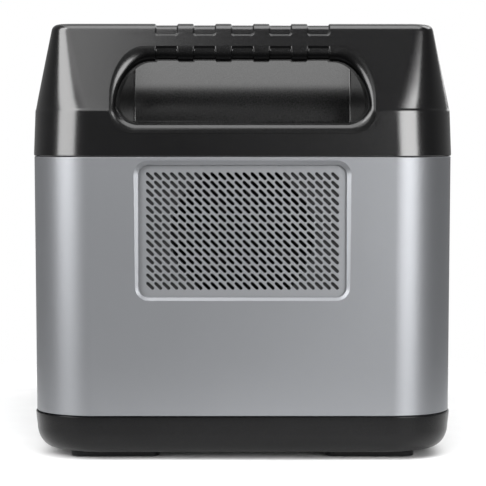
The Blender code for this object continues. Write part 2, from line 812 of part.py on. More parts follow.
def make_car_socket(panel):
    spot = (-0.098, 0.138)
    body, flange = disc(0.0130, 24), disc(0.0150, 24)
    socket = insert(panel, "car_socket", spot, body, flange, 0.040, black_plastic())
    socket_cut(socket, [circle(0.0106, 24, spot)], 0.037)
    cut(socket, lambda bm: add_prism(bm, circle(0.0033, 12, spot), 0.07, 0.10, "X"))
    solid(
        "car_socket_contact",
        lambda bm: add_prism(bm, circle(0.0030, 12, spot), 0.0875, 0.0960, "X"),
        brass(),
    )
    face = PANEL_FACE + GAP + FLANGE + GAP
    make_flap("car_socket_cap", spot, 0.0195, face, circle(0.0158, 24), circle(0.0094, 16), 0.004, 0.0022)


def make_inlet(panel):
    spot = (-0.098, 0.074)
    round_port(panel, "charge_inlet", spot, 0.0085, 0.0050, 0.0012, 0.014)
    face = PANEL_FACE + GAP + FLANGE + GAP
    outline = rounded(0.0110, 0.0110, 0.003, 2)
    make_flap("inlet_flap", spot, 0.0145, face, outline, circle(0.0042, 12), 0.0007, 0.0020)


def make_flap(name, spot, rise, face, cover, plug, plug_depth, thick):
    """A rubber cover hinged above its socket. Its origin is on the hinge line."""
    at = (face + thick / 2, spot[0], spot[1] + rise)

    def shift(outline):
        return [(a, b - rise) for a, b in outline]

    piece = solid(name, lambda bm: add_prism(bm, shift(cover), -thick / 2, thick / 2, "X"), rubber(), at)
    cut(piece, lambda bm: add_prism(bm, shift(plug), -thick / 2 - plug_depth, 0.0, "X"), kind="UNION", at=at)
    cut(
        piece,
        lambda bm: add_box(bm, (-thick / 2, -0.004, -0.008), (thick / 2, 0.004, thick / 2)),
        kind="UNION",
        at=at,
    )


# Inside.


def bent_sheet(half_low, half_high, floor, wall_top, thick):
    """Cross-section of a sheet with both long edges turned up, as a closed outline."""
    low, high, over = -half_low, half_high, floor + thick
    outer = [(low, wall_top), (low, floor), (high, floor), (high, wall_top)]
    inner = [(high - thick, wall_top), (high - thick, over), (low + thick, over), (low + thick, wall_top)]
    return outer + inner


def heat_sink_outline():
    low, high, foot, base, top, fins, pitch, fin = -0.100, -0.020, 0.0910, 0.096, 0.135, 9, 0.0095, 0.0020
    outline = [(low, foot), (high, foot), (high, base)]
    for k in reversed(range(fins)):
        x = low + 0.001 + k * pitch
        outline += [(x + fin, base), (x + fin, top), (x, top), (x, base)]
    return [*outline, (low, base)]


def strap_outline():
    """An upside-down U over the battery pack."""
    half, low, high, thick = 0.1085, 0.0250, 0.0800, 0.0015
    within, under = half - thick, high - thick
    outer = [(-half, low), (-half, high), (half, high), (half, low)]
    return outer + [(within, low), (within, under), (-within, under), (-within, low)]


def make_inside():
    pack = rounded(0.105, 0.0265, 0.004, 2, (0.0, 0.0515))
    cradle = bent_sheet(0.113, 0.113, 0.0215, 0.0450, 0.0030)
    chassis = bent_sheet(0.122, 0.078, 0.083, 0.0870, 0.0015)
    runs = (
        ("battery_cradle", cradle, -0.150, 0.150, grey_plastic),
        ("battery_pack", pack, -0.145, 0.145, wrap_blue),
        ("battery_strap_1", strap_outline(), -0.068, -0.048, steel),
        ("battery_strap_2", strap_outline(), 0.048, 0.068, steel),
        ("chassis_plate", chassis, -0.150, 0.150, steel),
        ("heat_sink", heat_sink_outline(), -0.110, 0.110, aluminium),
    )
    for name, outline, low, high, finish_material in runs:
        solid(name, lambda bm, o=outline, a=low, b=high: add_prism(bm, o, a, b, "Y"), finish_material())
    boards = (
        ("battery_board", (-0.060, -0.040, 0.0785), (0.060, 0.040, 0.0801)),
        ("inverter_board", (-0.115, -0.140, 0.0890), (0.060, 0.140, 0.0906)),
    )
    for name, low, high in boards:
        solid(name, lambda bm, a=low, b=high: add_box(bm, a, b), board_green())
    core = rounded(0.020, 0.032, 0.004, 2, (0.025, 0.0))
    solid("transformer", lambda bm: add_prism(bm, core, 0.0910, 0.1300, "Z"), grey_plastic())


def main():
    clear_scene()
    make_base()
    make_sleeve()
    for end, turn_end in (("intake", False), ("exhaust", True)):
        make_grille(end, turn_end)
        make_fan(end, turn_end)
        make_liner(end, turn_end)
    make_top_cover()
    make_tray_and_lid()
    panel = make_panel()
    make_display(panel)
    make_buttons(panel)
    make_outlets(panel)
    make_data_ports(panel)
    for index, y in ((1, -0.108), (2, -0.088)):
        round_port(panel, f"dc_port_{index}", (y, 0.104), 0.0052, 0.0032, 0.00105, 0.010)
    make_car_socket(panel)
    make_inlet(panel)
    make_inside()


main()
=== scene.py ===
import json
import math

import bmesh
import bpy
from mathutils import Matrix, Vector


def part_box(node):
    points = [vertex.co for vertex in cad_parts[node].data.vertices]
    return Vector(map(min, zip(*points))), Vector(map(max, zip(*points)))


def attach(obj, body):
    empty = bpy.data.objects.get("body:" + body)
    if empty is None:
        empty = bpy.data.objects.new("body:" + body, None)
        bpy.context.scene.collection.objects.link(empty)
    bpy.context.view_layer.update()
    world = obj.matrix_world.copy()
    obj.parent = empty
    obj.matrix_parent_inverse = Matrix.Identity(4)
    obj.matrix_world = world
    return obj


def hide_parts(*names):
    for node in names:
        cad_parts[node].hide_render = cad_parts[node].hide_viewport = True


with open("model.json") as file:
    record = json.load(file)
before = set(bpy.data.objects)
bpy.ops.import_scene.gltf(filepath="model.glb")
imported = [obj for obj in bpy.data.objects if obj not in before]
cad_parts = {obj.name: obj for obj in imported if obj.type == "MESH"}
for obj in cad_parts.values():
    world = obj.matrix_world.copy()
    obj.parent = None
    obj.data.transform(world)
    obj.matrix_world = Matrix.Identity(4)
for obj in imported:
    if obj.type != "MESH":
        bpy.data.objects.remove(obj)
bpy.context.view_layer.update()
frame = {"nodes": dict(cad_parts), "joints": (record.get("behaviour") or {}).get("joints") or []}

# Lengths are in metres. Slopes, drafts and leans are run per rise.

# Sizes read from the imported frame.
COVER_LOW, COVER_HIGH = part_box("top_cover")
SLEEVE_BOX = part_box("body_sleeve")
BASE_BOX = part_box("base_tray")
HALF_WIDTH, HALF_LENGTH, HEIGHT = COVER_HIGH
END_EXTRA = HALF_LENGTH - HALF_WIDTH
SEAM_Z = COVER_LOW[2]
SLEEVE_LOW, SLEEVE_HIGH = SLEEVE_BOX[0][2], SLEEVE_BOX[1][2]
HOUSING = "housing"

# Shared shape of the housing. The cover is SHOULDER_HALF wide either way at its crease.
CORNER, CORNER_STEPS = 0.037, 14
CREASE, SHOULDER_HALF = 0.2165, 0.1300
SLOPE, FACE_DRAFT = 0.2289, 0.036
FILLET_LOW, TOP_CORNER = 0.2662, 0.0120
SEAM = 0.00015

# Places past the object, for cuts that go right through it.
OVER, UNDER, BEYOND_END = 0.30, -0.01, 0.25

# Hand opening: the outer edge of its lip, its clear outline, and the radii of its corners.
LIP_HALF, LIP_LOW, LIP_HIGH = 0.0816, 0.2026, 0.2560
OPENING_HALF, OPENING_LOW, OPENING_HIGH = 0.0777, 0.2084, 0.2468
TOP_RADIUS_X, TOP_RADIUS_Z, LOW_RADIUS = 0.0212, 0.031, 0.0135
LIP_DEPTH, SILL_RISE = 0.0065, OPENING_LOW - LIP_LOW
LIP_BACK_Y, BAR_BACK_Y, BAR_LOW = 0.1500, 0.155, 0.24

# Well behind the handle bar. Its back wall leans back above a soft bend.
WELL_FRONT_HALF, WELL_BACK_HALF, WELL_CORNER = 0.0772, 0.0697, 0.001
WELL_FLOOR, WELL_DECK, WELL_BACK_Y = 0.2060, HEIGHT - 0.0003, 0.127
WELL_BEND, WELL_SOFT, WELL_LEAN = 0.2200, 0.0140, 0.48
LINER_WALL = 0.0025

# Finger pockets. The shares are places across a pocket's wall, measured in drafts from its edge.
POCKETS, POCKET_HALF, POCKET_PITCH, POCKET_DEPTH = 5, 0.00715, 0.0234, 0.0010
POCKET_RADIUS, POCKET_DRAFT, POCKET_MIDDLE = 0.0022, 0.0009, 0.003
POCKET_LOW, POCKETS_END = 0.2623, 0.0562
POCKET_SHARES = (0.0, 0.25, 0.5, 0.75, 1.0, 1.35, 1.7, 2.1, 2.5, 3.0)

# Vent window and its lattice of slanted slots.
VENT_HALF_X, VENT_HALF_Z, VENT_Z, VENT_CORNER = 0.0663, 0.043, 0.1423, 0.0085
VENT_BEVEL, VENT_BEVEL_DEPTH = 0.0022, 0.0011
SLOT_COLUMNS, SLOT_ROWS = 24, 14
SLOT_PITCH_X, SLOT_PITCH_Z = 0.00495, 0.00520
SLOT_LENGTH, SLOT_WIDTH, SLOT_SLANT = 0.0063, 0.0021, math.radians(-44)
GRILLE_MARGIN, GRILLE_EDGE = 0.0035, 0.00018

QUARTERS = ((1, 1), (-1, 1), (-1, -1), (1, -1))
WHITE = (1.0, 1.0, 1.0, 1.0)


# ------------ outlines and solids


def quarter_turn(steps):
    """Angles from nothing to a right angle."""
    return [math.pi / 2 * i / steps for i in range(steps + 1)]


def bezier(start, middle, end, t):
    return (1 - t) ** 2 * start + 2 * t * (1 - t) * middle + t * t * end


def arc(centre, radius, start, turn, steps):
    """Places on an arc that begins at the angle start and turns on by turn."""
    turns = [start + turn * i / steps for i in range(steps + 1)]
    return [(centre[0] + radius * math.cos(t), centre[1] + radius * math.sin(t)) for t in turns]


def circle(radius, steps, at):
    turns = [2 * math.pi * (i + 0.5) / steps for i in range(steps)]
    return [(at[0] + radius * math.cos(t), at[1] + radius * math.sin(t)) for t in turns]


def rounded(half_a, half_b, radius, steps=6, at=(0.0, 0.0), grow=0.0):
    """A rectangle with round corners, grown by that much all round."""
    half_a, half_b, radius = half_a + grow, half_b + grow, radius + grow
    points = []
    for quarter, (sign_a, sign_b) in enumerate(QUARTERS):
        centre = (at[0] + sign_a * (half_a - radius), at[1] + sign_b * (half_b - radius))
        for i in range(steps + 1):
            t = math.pi / 2 * (quarter + i / steps)
            points.append((centre[0] + radius * math.cos(t), centre[1] + radius * math.sin(t)))
    return points


def pocket_lines():
    """Places along the bar where the finger pockets need an edge line, from low to high."""
    lines = [(k - POCKETS / 2) * POCKET_PITCH for k in range(1, POCKETS)]
    for k in range(POCKETS):
        centre = (k - (POCKETS - 1) / 2) * POCKET_PITCH
        for share in POCKET_SHARES:
            inward = POCKET_HALF - share * POCKET_DRAFT
            lines += [centre - inward, centre + inward]
        lines += [centre - POCKET_MIDDLE, centre, centre + POCKET_MIDDLE]
    return sorted(lines)


def opening_outline(share, grow=0.0):
    """Hand opening at a share of the way from the inside (0) to the outside (1) of its lip."""
    half = OPENING_HALF + share * (LIP_HALF - OPENING_HALF) + grow
    low = OPENING_LOW + share * (LIP_LOW - OPENING_LOW) - grow
    high = OPENING_HIGH + share * (LIP_HIGH - OPENING_HIGH) + grow
    across, down, low_radius = TOP_RADIUS_X + grow, TOP_RADIUS_Z + grow, LOW_RADIUS + grow
    corners = (
        (half - across, high - down, across, down),
        (across - half, high - down, across, down),
        (low_radius - half, low + low_radius, low_radius, low_radius),
        (half - low_radius, low + low_radius, low_radius, low_radius),
    )
    points = []
    for quarter, (a, b, radius_a, radius_b) in enumerate(corners):
        for i in range(CORNER_STEPS + 1):
            t = math.pi / 2 * (quarter + i / CORNER_STEPS)
            points.append((a + radius_a * math.cos(t), b + radius_b * math.sin(t)))
        if quarter == 0:
            points += [(x, high) for x in reversed(pocket_lines())]
    return points


def slope_half(z):
    """Half width of the cover at height z, above the crease."""
    return SHOULDER_HALF - (z - CREASE) * SLOPE


def face_y(z):
    """Distance of the top cover's end face from the middle at height z."""
    if z <= CREASE:
        return HALF_LENGTH - (z - SLEEVE_HIGH) * FACE_DRAFT
    return SHOULDER_HALF + END_EXTRA - (z - CREASE) * SLOPE


def in_space(outline, level, axis):
    """A flat outline as places at a level along an axis."""
    at = "XYZ".index(axis)
    return [(*place[:at], level, *place[at:]) for place in outline]


def add_skin(bm, rings, closed=False):
    """A skin through rings of equally many points, closed on itself or capped at both ends."""
    made = [[bm.verts.new(point) for point in ring] for ring in rings]
    count = len(rings[0])
    pairs = list(zip(made, made[1:]))
    if closed:
        pairs.append((made[-1], made[0]))
    for low, high in pairs:
        for i in range(count):
            j = (i + 1) % count
            bm.faces.new((low[i], low[j], high[j], high[i]))
    if not closed:
        bm.faces.new(made[0][::-1])
        bm.faces.new(made[-1])


def add_prism(bm, outline, low, high, axis):
    add_skin(bm, [in_space(outline, low, axis), in_space(outline, high, axis)])


def add_soft_prism(bm, outline_at, low, high, axis, bevel, both=True):
    """A prism with both end edges rounded, or only the high one.

    outline_at(grow) gives its outline, grown by that much.
    """
    turns = quarter_turn(3)
    rings = []
    if both:
        for t in turns:
            outline = outline_at(-bevel * (1 - math.sin(t)))
            rings.append(in_space(outline, low + bevel * (1 - math.cos(t)), axis))
    else:
        rings.append(in_space(outline_at(0.0), low, axis))
    for t in turns:
        outline = outline_at(-bevel * (1 - math.cos(t)))
        rings.append(in_space(outline, high - bevel * (1 - math.sin(t)), axis))
    add_skin(bm, rings)


def add_box(bm, low, high):
    corners = [(low[0], low[1]), (high[0], low[1]), (high[0], high[1]), (low[0], high[1])]
    add_prism(bm, corners, low[2], high[2], "Z")


def middle_of(low, high):
    """Plan middle of a box."""
    return ((low[0] + high[0]) / 2, (low[1] + high[1]) / 2)


def link(name, data):
    made = bpy.data.objects.new(name, data)
    bpy.context.scene.collection.objects.link(made)
    return made


def mesh_object(name, build, turn_end=False):
    """With turn_end the shape, made for the intake end, goes to the exhaust end."""
    bm = bmesh.new()
    build(bm)
    if turn_end:
        bmesh.ops.rotate(bm, verts=bm.verts, matrix=Matrix.Rotation(math.pi, 3, "Z"))
    bmesh.ops.recalc_face_normals(bm, faces=bm.faces)
    mesh = bpy.data.meshes.new(name)
    bm.to_mesh(mesh)
    bm.free()
    return link(name, mesh)


def combine(target, tool, kind):
    modifier = target.modifiers.new(kind.lower(), "BOOLEAN")
    modifier.operation = kind
    modifier.solver = "MANIFOLD"
    modifier.object = tool


def cut(target, build, turn_end=False, kind="DIFFERENCE"):
    combine(target, mesh_object(f"tool_{target.name}", build, turn_end), kind)


def evaluated_mesh(made):
    graph = bpy.context.evaluated_depsgraph_get()
    return bpy.data.meshes.new_from_object(made.evaluated_get(graph))


def bake(piece):
    """Turns a piece's modifiers into its mesh, and removes the cutting tools."""
    tools = [m.object for m in piece.modifiers if m.type == "BOOLEAN"]
    mesh = evaluated_mesh(piece)
    piece.modifiers.clear()
    piece.data = mesh
    for tool in tools:
        bpy.data.objects.remove(tool, do_unlink=True)


def settle(piece, material, body, nodes=(), sharp=32.0):
    """Applies the cuts, shades the piece and puts it on its body in place of its CAD nodes.

    Edges bent by more than sharp degrees stay crisp.
    """
    bake(piece)
    piece.data.materials.clear()
    piece.data.materials.append(material)
    piece.data.shade_smooth()
    piece.data.set_sharp_from_angle(angle=math.radians(sharp))
    weigh = piece.modifiers.new("weigh", "WEIGHTED_NORMAL")
    weigh.keep_sharp = True
    bake(piece)
    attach(piece, body)
    if nodes:
        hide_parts(*nodes)


# ------------ materials


def map_range(nodes, links, source, low, high, from_low, from_high):
    """Takes a source's from_low..from_high to low..high."""
    node = nodes.new("ShaderNodeMapRange")
    ends = {"From Min": from_low, "From Max": from_high, "To Min": low, "To Max": high}
    for key, value in ends.items():
        node.inputs[key].default_value = value
    links.new(source, node.inputs["Value"])
    return node.outputs["Result"]


class Graph:
    """Short names for building a material's nodes."""

    def __init__(self, name):
        self.material = bpy.data.materials.new(name)
        self.material.use_nodes = True
        self.nodes = self.material.node_tree.nodes
        self.links = self.material.node_tree.links
        self.shader = self.nodes["Principled BSDF"]
        self.place = self.nodes.new("ShaderNodeTexCoord").outputs["Object"]

    def join(self, source, name):
        """Joins a source to one of the shader's own inputs."""
        self.links.new(source, self.shader.inputs[name])

    def finish(self, colour, roughness, normal, **values):
        """Joins what every material drives and sets constants on the shader's other inputs."""
        self.join(colour, "Base Color")
        self.join(roughness, "Roughness")
        self.join(normal, "Normal")
        for key, value in values.items():
            self.shader.inputs[key.replace("_", " ")].default_value = value
        return self.material

    def noise(self, scale, detail=2.0, roughness=0.5, stretch=None):
        node = self.nodes.new("ShaderNodeTexNoise")
        node.inputs["Scale"].default_value = scale
        node.inputs["Detail"].default_value = detail
        node.inputs["Roughness"].default_value = roughness
        place = self.place
        if stretch:
            mapping = self.nodes.new("ShaderNodeMapping")
            mapping.inputs["Scale"].default_value = stretch
            self.links.new(place, mapping.inputs["Vector"])
            place = mapping.outputs["Vector"]
        self.links.new(place, node.inputs["Vector"])
        return node.outputs["Fac"]

    def cells(self, scale):
        node = self.nodes.new("ShaderNodeTexVoronoi")
        node.inputs["Scale"].default_value = scale
        self.links.new(self.place, node.inputs["Vector"])
        return node.outputs["Distance"]

    def facing_up(self):
        """The surface's own direction: -1 facing down, 1 facing up."""
        apart = self.nodes.new("ShaderNodeSeparateXYZ")
        surface = self.nodes.new("ShaderNodeNewGeometry")
        self.links.new(surface.outputs["Normal"], apart.inputs["Vector"])
        return apart.outputs["Z"]

    def ramp(self, source, low, high, from_low=0.3, from_high=0.7):
        return map_range(self.nodes, self.links, source, low, high, from_low, from_high)

    def tint(self, source, first, second, from_low=0.3, from_high=0.7):
        node = self.nodes.new("ShaderNodeMix")
        node.data_type = "RGBA"
        node.inputs["A"].default_value = (*first, 1.0)
        node.inputs["B"].default_value = (*second, 1.0)
        self.links.new(self.ramp(source, 0.0, 1.0, from_low, from_high), node.inputs["Factor"])
        return node.outputs["Result"]

    def bump(self, source, distance, strength, after=None):
        node = self.nodes.new("ShaderNodeBump")
        node.inputs["Distance"].default_value = distance
        node.inputs["Strength"].default_value = strength
        self.links.new(source, node.inputs["Height"])
        if after:
            self.links.new(after, node.inputs["Normal"])
        return node.outputs["Normal"]


def moulded(name, colour, roughness, grain=2600.0, specular=0.5, underside_shade_specular=None):
    """Injection-moulded plastic with a fine spark-eroded grain and faint flow patches.

    under is the specular level of surfaces that face down: a painted shade, set lower than the rest
    so that undersides read dark.
    """
    g = Graph(name)
    patches = g.noise(14.0, 3.0)
    fine = g.noise(grain, 3.0, 0.6)
    wide = g.bump(g.noise(60.0, 1.0), 0.00008, 0.25)
    material = g.finish(
        g.tint(patches, colour, [c * 1.12 + 0.002 for c in colour]),
        g.ramp(fine, roughness - 0.05, roughness + 0.07),
        g.bump(fine, 0.00001, 0.9, wide),
        Specular_IOR_Level=specular,
    )
    # Painted shade: surfaces that face down get a lower specular level, so undersides read dark.
    if underside_shade_specular is not None:
        g.join(g.ramp(g.facing_up(), underside_shade_specular, specular, -0.45, -0.05), "Specular IOR Level")
    return material


def satin_silver(name, colour, roughness, metallic):
    """Satin silver paint: fine metal flake, slight cloudiness."""
    g = Graph(name)
    return g.finish(
        g.tint(g.noise(9.0, 2.0), colour, [c * 1.06 for c in colour]),
        g.ramp(g.cells(5200.0), roughness - 0.03, roughness + 0.06, 0.0, 0.8),
        g.bump(g.noise(3800.0, 2.0, 0.6), 0.00003, 0.5),
        Metallic=metallic,
    )


def brushed(name, colour, roughness, stretch=(1.0, 1.0, 40.0)):
    """Brushed metal. stretch is the noise's scale along each axis, most across the lines."""
    g = Graph(name)
    lines = g.noise(300.0, 4.0, 0.6, stretch)
    return g.finish(
        g.tint(lines, [c * 0.85 for c in colour], colour),
        g.ramp(lines, roughness - 0.06, roughness + 0.1),
        g.bump(lines, 0.00002, 0.4),
        Metallic=1.0,
    )


def soft_rubber(name):
    g = Graph(name)
    dust = g.noise(120.0, 5.0, 0.7)
    return g.finish(
        g.tint(dust, (0.010, 0.010, 0.010), (0.030, 0.029, 0.028)),
        g.ramp(dust, 0.62, 0.85),
        g.bump(g.noise(1500.0, 3.0), 0.0001, 0.6),
    )


def circuit_board(name):
    g = Graph(name)
    tracks = g.noise(220.0, 1.0, 0.5, (1.0, 6.0, 1.0))
    return g.finish(
        g.tint(tracks, (0.008, 0.07, 0.03), (0.02, 0.14, 0.06), 0.47, 0.53),
        g.ramp(tracks, 0.3, 0.45),
        g.bump(tracks, 0.0001, 0.5),
    )


def wrapped(name):
    """Blue shrink wrap with soft folds."""
    g = Graph(name)
    folds = g.noise(30.0, 4.0, 0.6, (1.0, 3.0, 1.0))
    return g.finish(
        g.tint(folds, (0.015, 0.06, 0.18), (0.025, 0.10, 0.27)),
        g.ramp(folds, 0.25, 0.4),
        g.bump(folds, 0.0008, 0.6),
    )


def dark_window(name):
    """Smoked display window over a dark screen."""
    g = Graph(name)
    smear = g.noise(40.0, 3.0)
    return g.finish(
        g.tint(smear, (0.006, 0.007, 0.009), (0.010, 0.011, 0.013)),
        g.ramp(smear, 0.03, 0.10),
        g.bump(smear, 0.00002, 0.3),
        Coat_Weight=0.6,
        Coat_Roughness=0.02,
    )


def screen_ink(name):
    """Pale marks of a display that is switched off."""
    g = Graph(name)
    grid = g.noise(900.0, 2.0)
    return g.finish(
        g.tint(grid, (0.10, 0.13, 0.14), (0.16, 0.20, 0.21)),
        g.ramp(grid, 0.25, 0.40),
        g.bump(grid, 0.00001, 0.3),
    )


def pale_floor(name):
    """Matt white that fades out around the object."""
    g = Graph(name)
    grain = g.noise(35.0, 4.0)
    distance = g.nodes.new("ShaderNodeVectorMath")
    distance.operation = "LENGTH"
    g.links.new(g.place, distance.inputs[0])
    g.join(g.ramp(distance.outputs["Value"], 1.0, 0.0, 0.22, 0.40), "Alpha")
    g.join(g.tint(grain, (0.90, 0.90, 0.90), (0.93, 0.93, 0.93)), "Base Color")
    g.join(g.ramp(grain, 0.55, 0.65), "Roughness")
    return g.material


BLACK = moulded("cover_black", (0.0015, 0.0015, 0.0017), 0.185, specular=0.85)
# The insert and the well carry painted shade: their downward faces reflect less than the rest.
BLACK_INSERT = moulded(
    "insert_black", (0.0008, 0.0008, 0.0009), 0.22, 2200.0, specular=0.6, underside_shade_specular=0.08
)
WELL_BLACK = moulded(
    "well_black", (0.0010, 0.0010, 0.0011), 0.27, 2200.0, specular=0.68, underside_shade_specular=0.08
)
BASE_BLACK = moulded("base_black", (0.0015, 0.0015, 0.0017), 0.25, 2400.0, specular=0.22)
PANEL_BLACK = moulded("panel_black", (0.008, 0.008, 0.0085), 0.46, 3200.0)
FAN_FRAME = moulded("fan_frame_black", (0.022, 0.022, 0.023), 0.6, specular=0.3)
FAN_BLACK = moulded("fan_black", (0.004, 0.004, 0.0042), 0.75, specular=0.1)
GREY = moulded("key_grey", (0.12, 0.12, 0.125), 0.45)
PALE_GREY = moulded("outlet_grey", (0.075, 0.076, 0.08), 0.4)
SILVER = satin_silver("case_silver_paint", (0.222, 0.228, 0.240), 0.38, 0.70)
GRILLE_SILVER = satin_silver("grille_silver_paint", (0.215, 0.221, 0.231), 0.42, 0.60)
STEEL = brushed("plated_steel", (0.55, 0.55, 0.56), 0.32)
BRASS = brushed("plated_brass", (0.72, 0.55, 0.22), 0.3)
ALUMINIUM = brushed("bare_aluminium_metal", (0.7, 0.7, 0.71), 0.35, (1.0, 40.0, 1.0))
RUBBER = soft_rubber("foot_rubber")
BOARD = circuit_board("board_lacquer")
FOAM = soft_rubber("filter_foam")
WRAP = wrapped("battery_wrap")
WINDOW = dark_window("smoked_window")
INK = screen_ink("display_marks")


# ------------ cover and handles


def skin_ring(half, radius, z, end_places=()):
    """Plan outline of the housing at one height, with extra points along both ends."""
    half_y = half + END_EXTRA
    points = []
    for quarter, (sign_x, sign_y) in enumerate(QUARTERS):
        centre = (sign_x * (half - radius), sign_y * (half_y - radius))
        for i in range(CORNER_STEPS + 1):
            t = math.pi / 2 * (quarter + i / CORNER_STEPS)
            points.append((centre[0] + radius * math.cos(t), centre[1] + radius * math.sin(t), z))
        if quarter == 0:
            points += [(x, half_y, z) for x in reversed(end_places)]
        if quarter == 2:
            points += [(x, -half_y, z) for x in end_places]
    return points


def add_plan_rows(bm, rows):
    """A skin through plan outlines, given as (height, half width, corner radius)."""
    add_skin(bm, [skin_ring(half, radius, z) for z, half, radius in rows])


def pocket_share(x, along):
    """How far into a finger pocket a place is: 0 outside, 1 on its floor.

    along is the distance from the pocket's closed end, measured on the bar's surface.
    """
    nearest = round(x / POCKET_PITCH) * POCKET_PITCH
    if abs(nearest) > POCKET_PITCH * (POCKETS - 1) / 2 + 0.001:
        return 0.0
    across = abs(x - nearest) - POCKET_HALF + POCKET_RADIUS
    end = POCKET_RADIUS - along
    corner = math.hypot(max(across, 0.0), max(end, 0.0))
    outside = corner + min(max(across, end), 0.0) - POCKET_RADIUS
    share = min(max(-outside / POCKET_DRAFT, 0.0), 1.0)
    return share * share * (3 - 2 * share)


def cover_profile():
    """The cover's skin from the seam to the deck as (height, half width, corner radius)."""
    edge = 0.0005
    rows = [
        (SEAM_Z, HALF_WIDTH - edge, CORNER - edge),
        (SEAM_Z + 0.0004, HALF_WIDTH - 0.0001, CORNER),
    ]
    for z in (0.1900, 0.1980, 0.2070):
        rows.append((z, HALF_WIDTH - (z - SEAM_Z) * FACE_DRAFT, CORNER))

    # The crease is a short round from the upright face to the slope.
    low, high = CREASE - 0.0010, CREASE + 0.0014
    half_low = HALF_WIDTH - (low - SEAM_Z) * FACE_DRAFT
    half_middle = half_low - (CREASE - low) * FACE_DRAFT
    for i in range(5):
        t = i / 4
        half = bezier(half_low, half_middle, slope_half(high), t)
        rows.append((bezier(low, CREASE, high, t), half, CORNER - 0.0004 * t))

    slope_rows = (0.2240, 0.2340, 0.2440, 0.2520, 0.2580, 0.2608)
    pocket_rows = [POCKET_LOW + share * POCKET_DRAFT for share in (-0.3, *POCKET_SHARES)]
    for z in (*slope_rows, *pocket_rows, FILLET_LOW):
        t = (z - CREASE) / (FILLET_LOW - CREASE)
        rows.append((z, slope_half(z), CORNER + t**0.9 * (TOP_CORNER - CORNER)))

    fillet_half = slope_half(FILLET_LOW)

    def corner_at(half):
        return TOP_CORNER - (fillet_half - half) * 0.5

    corner_half = fillet_half - (HEIGHT - FILLET_LOW) * SLOPE
    deck_edge = corner_half - 0.0050
    for i in range(1, 9):
        t = i / 8
        half = bezier(fillet_half, corner_half, deck_edge, t)
        rows.append((bezier(FILLET_LOW, HEIGHT, HEIGHT, t), half, corner_at(half)))

    # Two rings near the deck's edge, and two where the bars end and the wells begin.
    bar_back = BAR_BACK_Y - END_EXTRA
    for half in (deck_edge - 0.004, deck_edge - 0.012, bar_back - 0.0005, bar_back - 0.004):
        rows.append((HEIGHT, half, max(corner_at(half), 0.004)))
    return rows


def add_cover_skin(bm):
    """The cover's outside, with the upper half of the finger pockets pressed into both bars."""
    places = pocket_lines()
    rows = cover_profile()
    rings = []
    along = 0.0
    for k, (z, half, radius) in enumerate(rows):
        before, after = rows[max(k - 1, 0)], rows[min(k + 1, len(rows) - 1)]
        rise, run = after[0] - before[0], after[1] - before[1]
        length = math.hypot(rise, run) or 1.0
        out, up = rise / length, -run / length
        pressed = z > POCKET_LOW
        if pressed:
            along += math.hypot(z - max(before[0], POCKET_LOW), half - before[1])
        end_face = half + END_EXTRA - 1e-6
        ring = []
        for x, y, height in skin_ring(half, radius, z, places):
            push = 0.0
            if pressed and abs(x) < POCKETS_END and abs(y) > end_face:
                push = pocket_share(x, along) * POCKET_DEPTH
            ring.append((x, y - math.copysign(push * out, y), height - push * up))
        rings.append(ring)
    add_skin(bm, rings)


def well_plan(grow, back_y):
    """Plan of the well, open towards the bar and a little narrower at the back."""
    front_half, back_half = WELL_FRONT_HALF + grow, WELL_BACK_HALF + grow
    radius, back = WELL_CORNER + grow, back_y - grow
    points = [(front_half, -BAR_BACK_Y)]
    for start, centre_x in ((0, back_half - radius), (1, radius - back_half)):
        for i in range(9):
            t = math.pi / 2 * (start + i / 8)
            points.append(
                (centre_x + radius * math.cos(t), -back - radius + radius * math.sin(t))
            )
    points.append((-front_half, -BAR_BACK_Y))
    return points


def well_rings(grow, low, high, front_shift=0.0, floor_round=0.0, rim=0.0):
    """The well from low to high. Its back wall bends softly and leans back above the bend.

    floor_round is the radius round the floor. rim is how far it widens at the deck.
    """
    floor_turns = quarter_turn(4) if floor_round else [0.0]
    rows = [
        (low + floor_round * (1 - math.cos(t)), -floor_round * (1 - math.sin(t)))
        for t in floor_turns
    ]
    rows += [(WELL_BEND + WELL_SOFT * i / 10, 0.0) for i in range(-7, 11)]
    rows += [(z, 0.0) for z in (0.2440, 0.2520, 0.2620)]
    rim_height = 0.0025
    for i, t in enumerate(quarter_turn(4)):
        rows.append((WELL_DECK - rim_height + rim_height * i / 4, rim * (1 - math.cos(t))))
    if high > WELL_DECK + 0.001:
        rows.append((high, rim))
    rings = []
    for z, extra in rows:
        over_bend = min(z, WELL_DECK) - WELL_BEND
        bending = min(max(over_bend, -WELL_SOFT), WELL_SOFT)
        lean = (bending + WELL_SOFT) ** 2 / (4 * WELL_SOFT) + max(over_bend - WELL_SOFT, 0.0)
        plan = well_plan(grow + extra, WELL_BACK_Y - lean * WELL_LEAN)
        rings.append([(x, max(y, front_shift - BAR_BACK_Y), z) for x, y in plan])
    return rings


def round_bar_back(bm, z, direction, half, radius):
    """Tool that rounds a back edge of the handle bar, half long either way.

    direction is +1 for the top edge and -1 for the low one.
    """
    clear = 0.001
    outline = [
        (-BAR_BACK_Y + clear, z + direction * clear),
        (-BAR_BACK_Y + clear, z - direction * radius),
    ]
    for t in quarter_turn(6):
        inward = -BAR_BACK_Y - radius + radius * math.cos(t)
        outline.append((inward, z - direction * radius * (1 - math.sin(t))))
    outline.append((-BAR_BACK_Y - radius, z + direction * clear))
    add_prism(bm, outline, -half, half, "X")


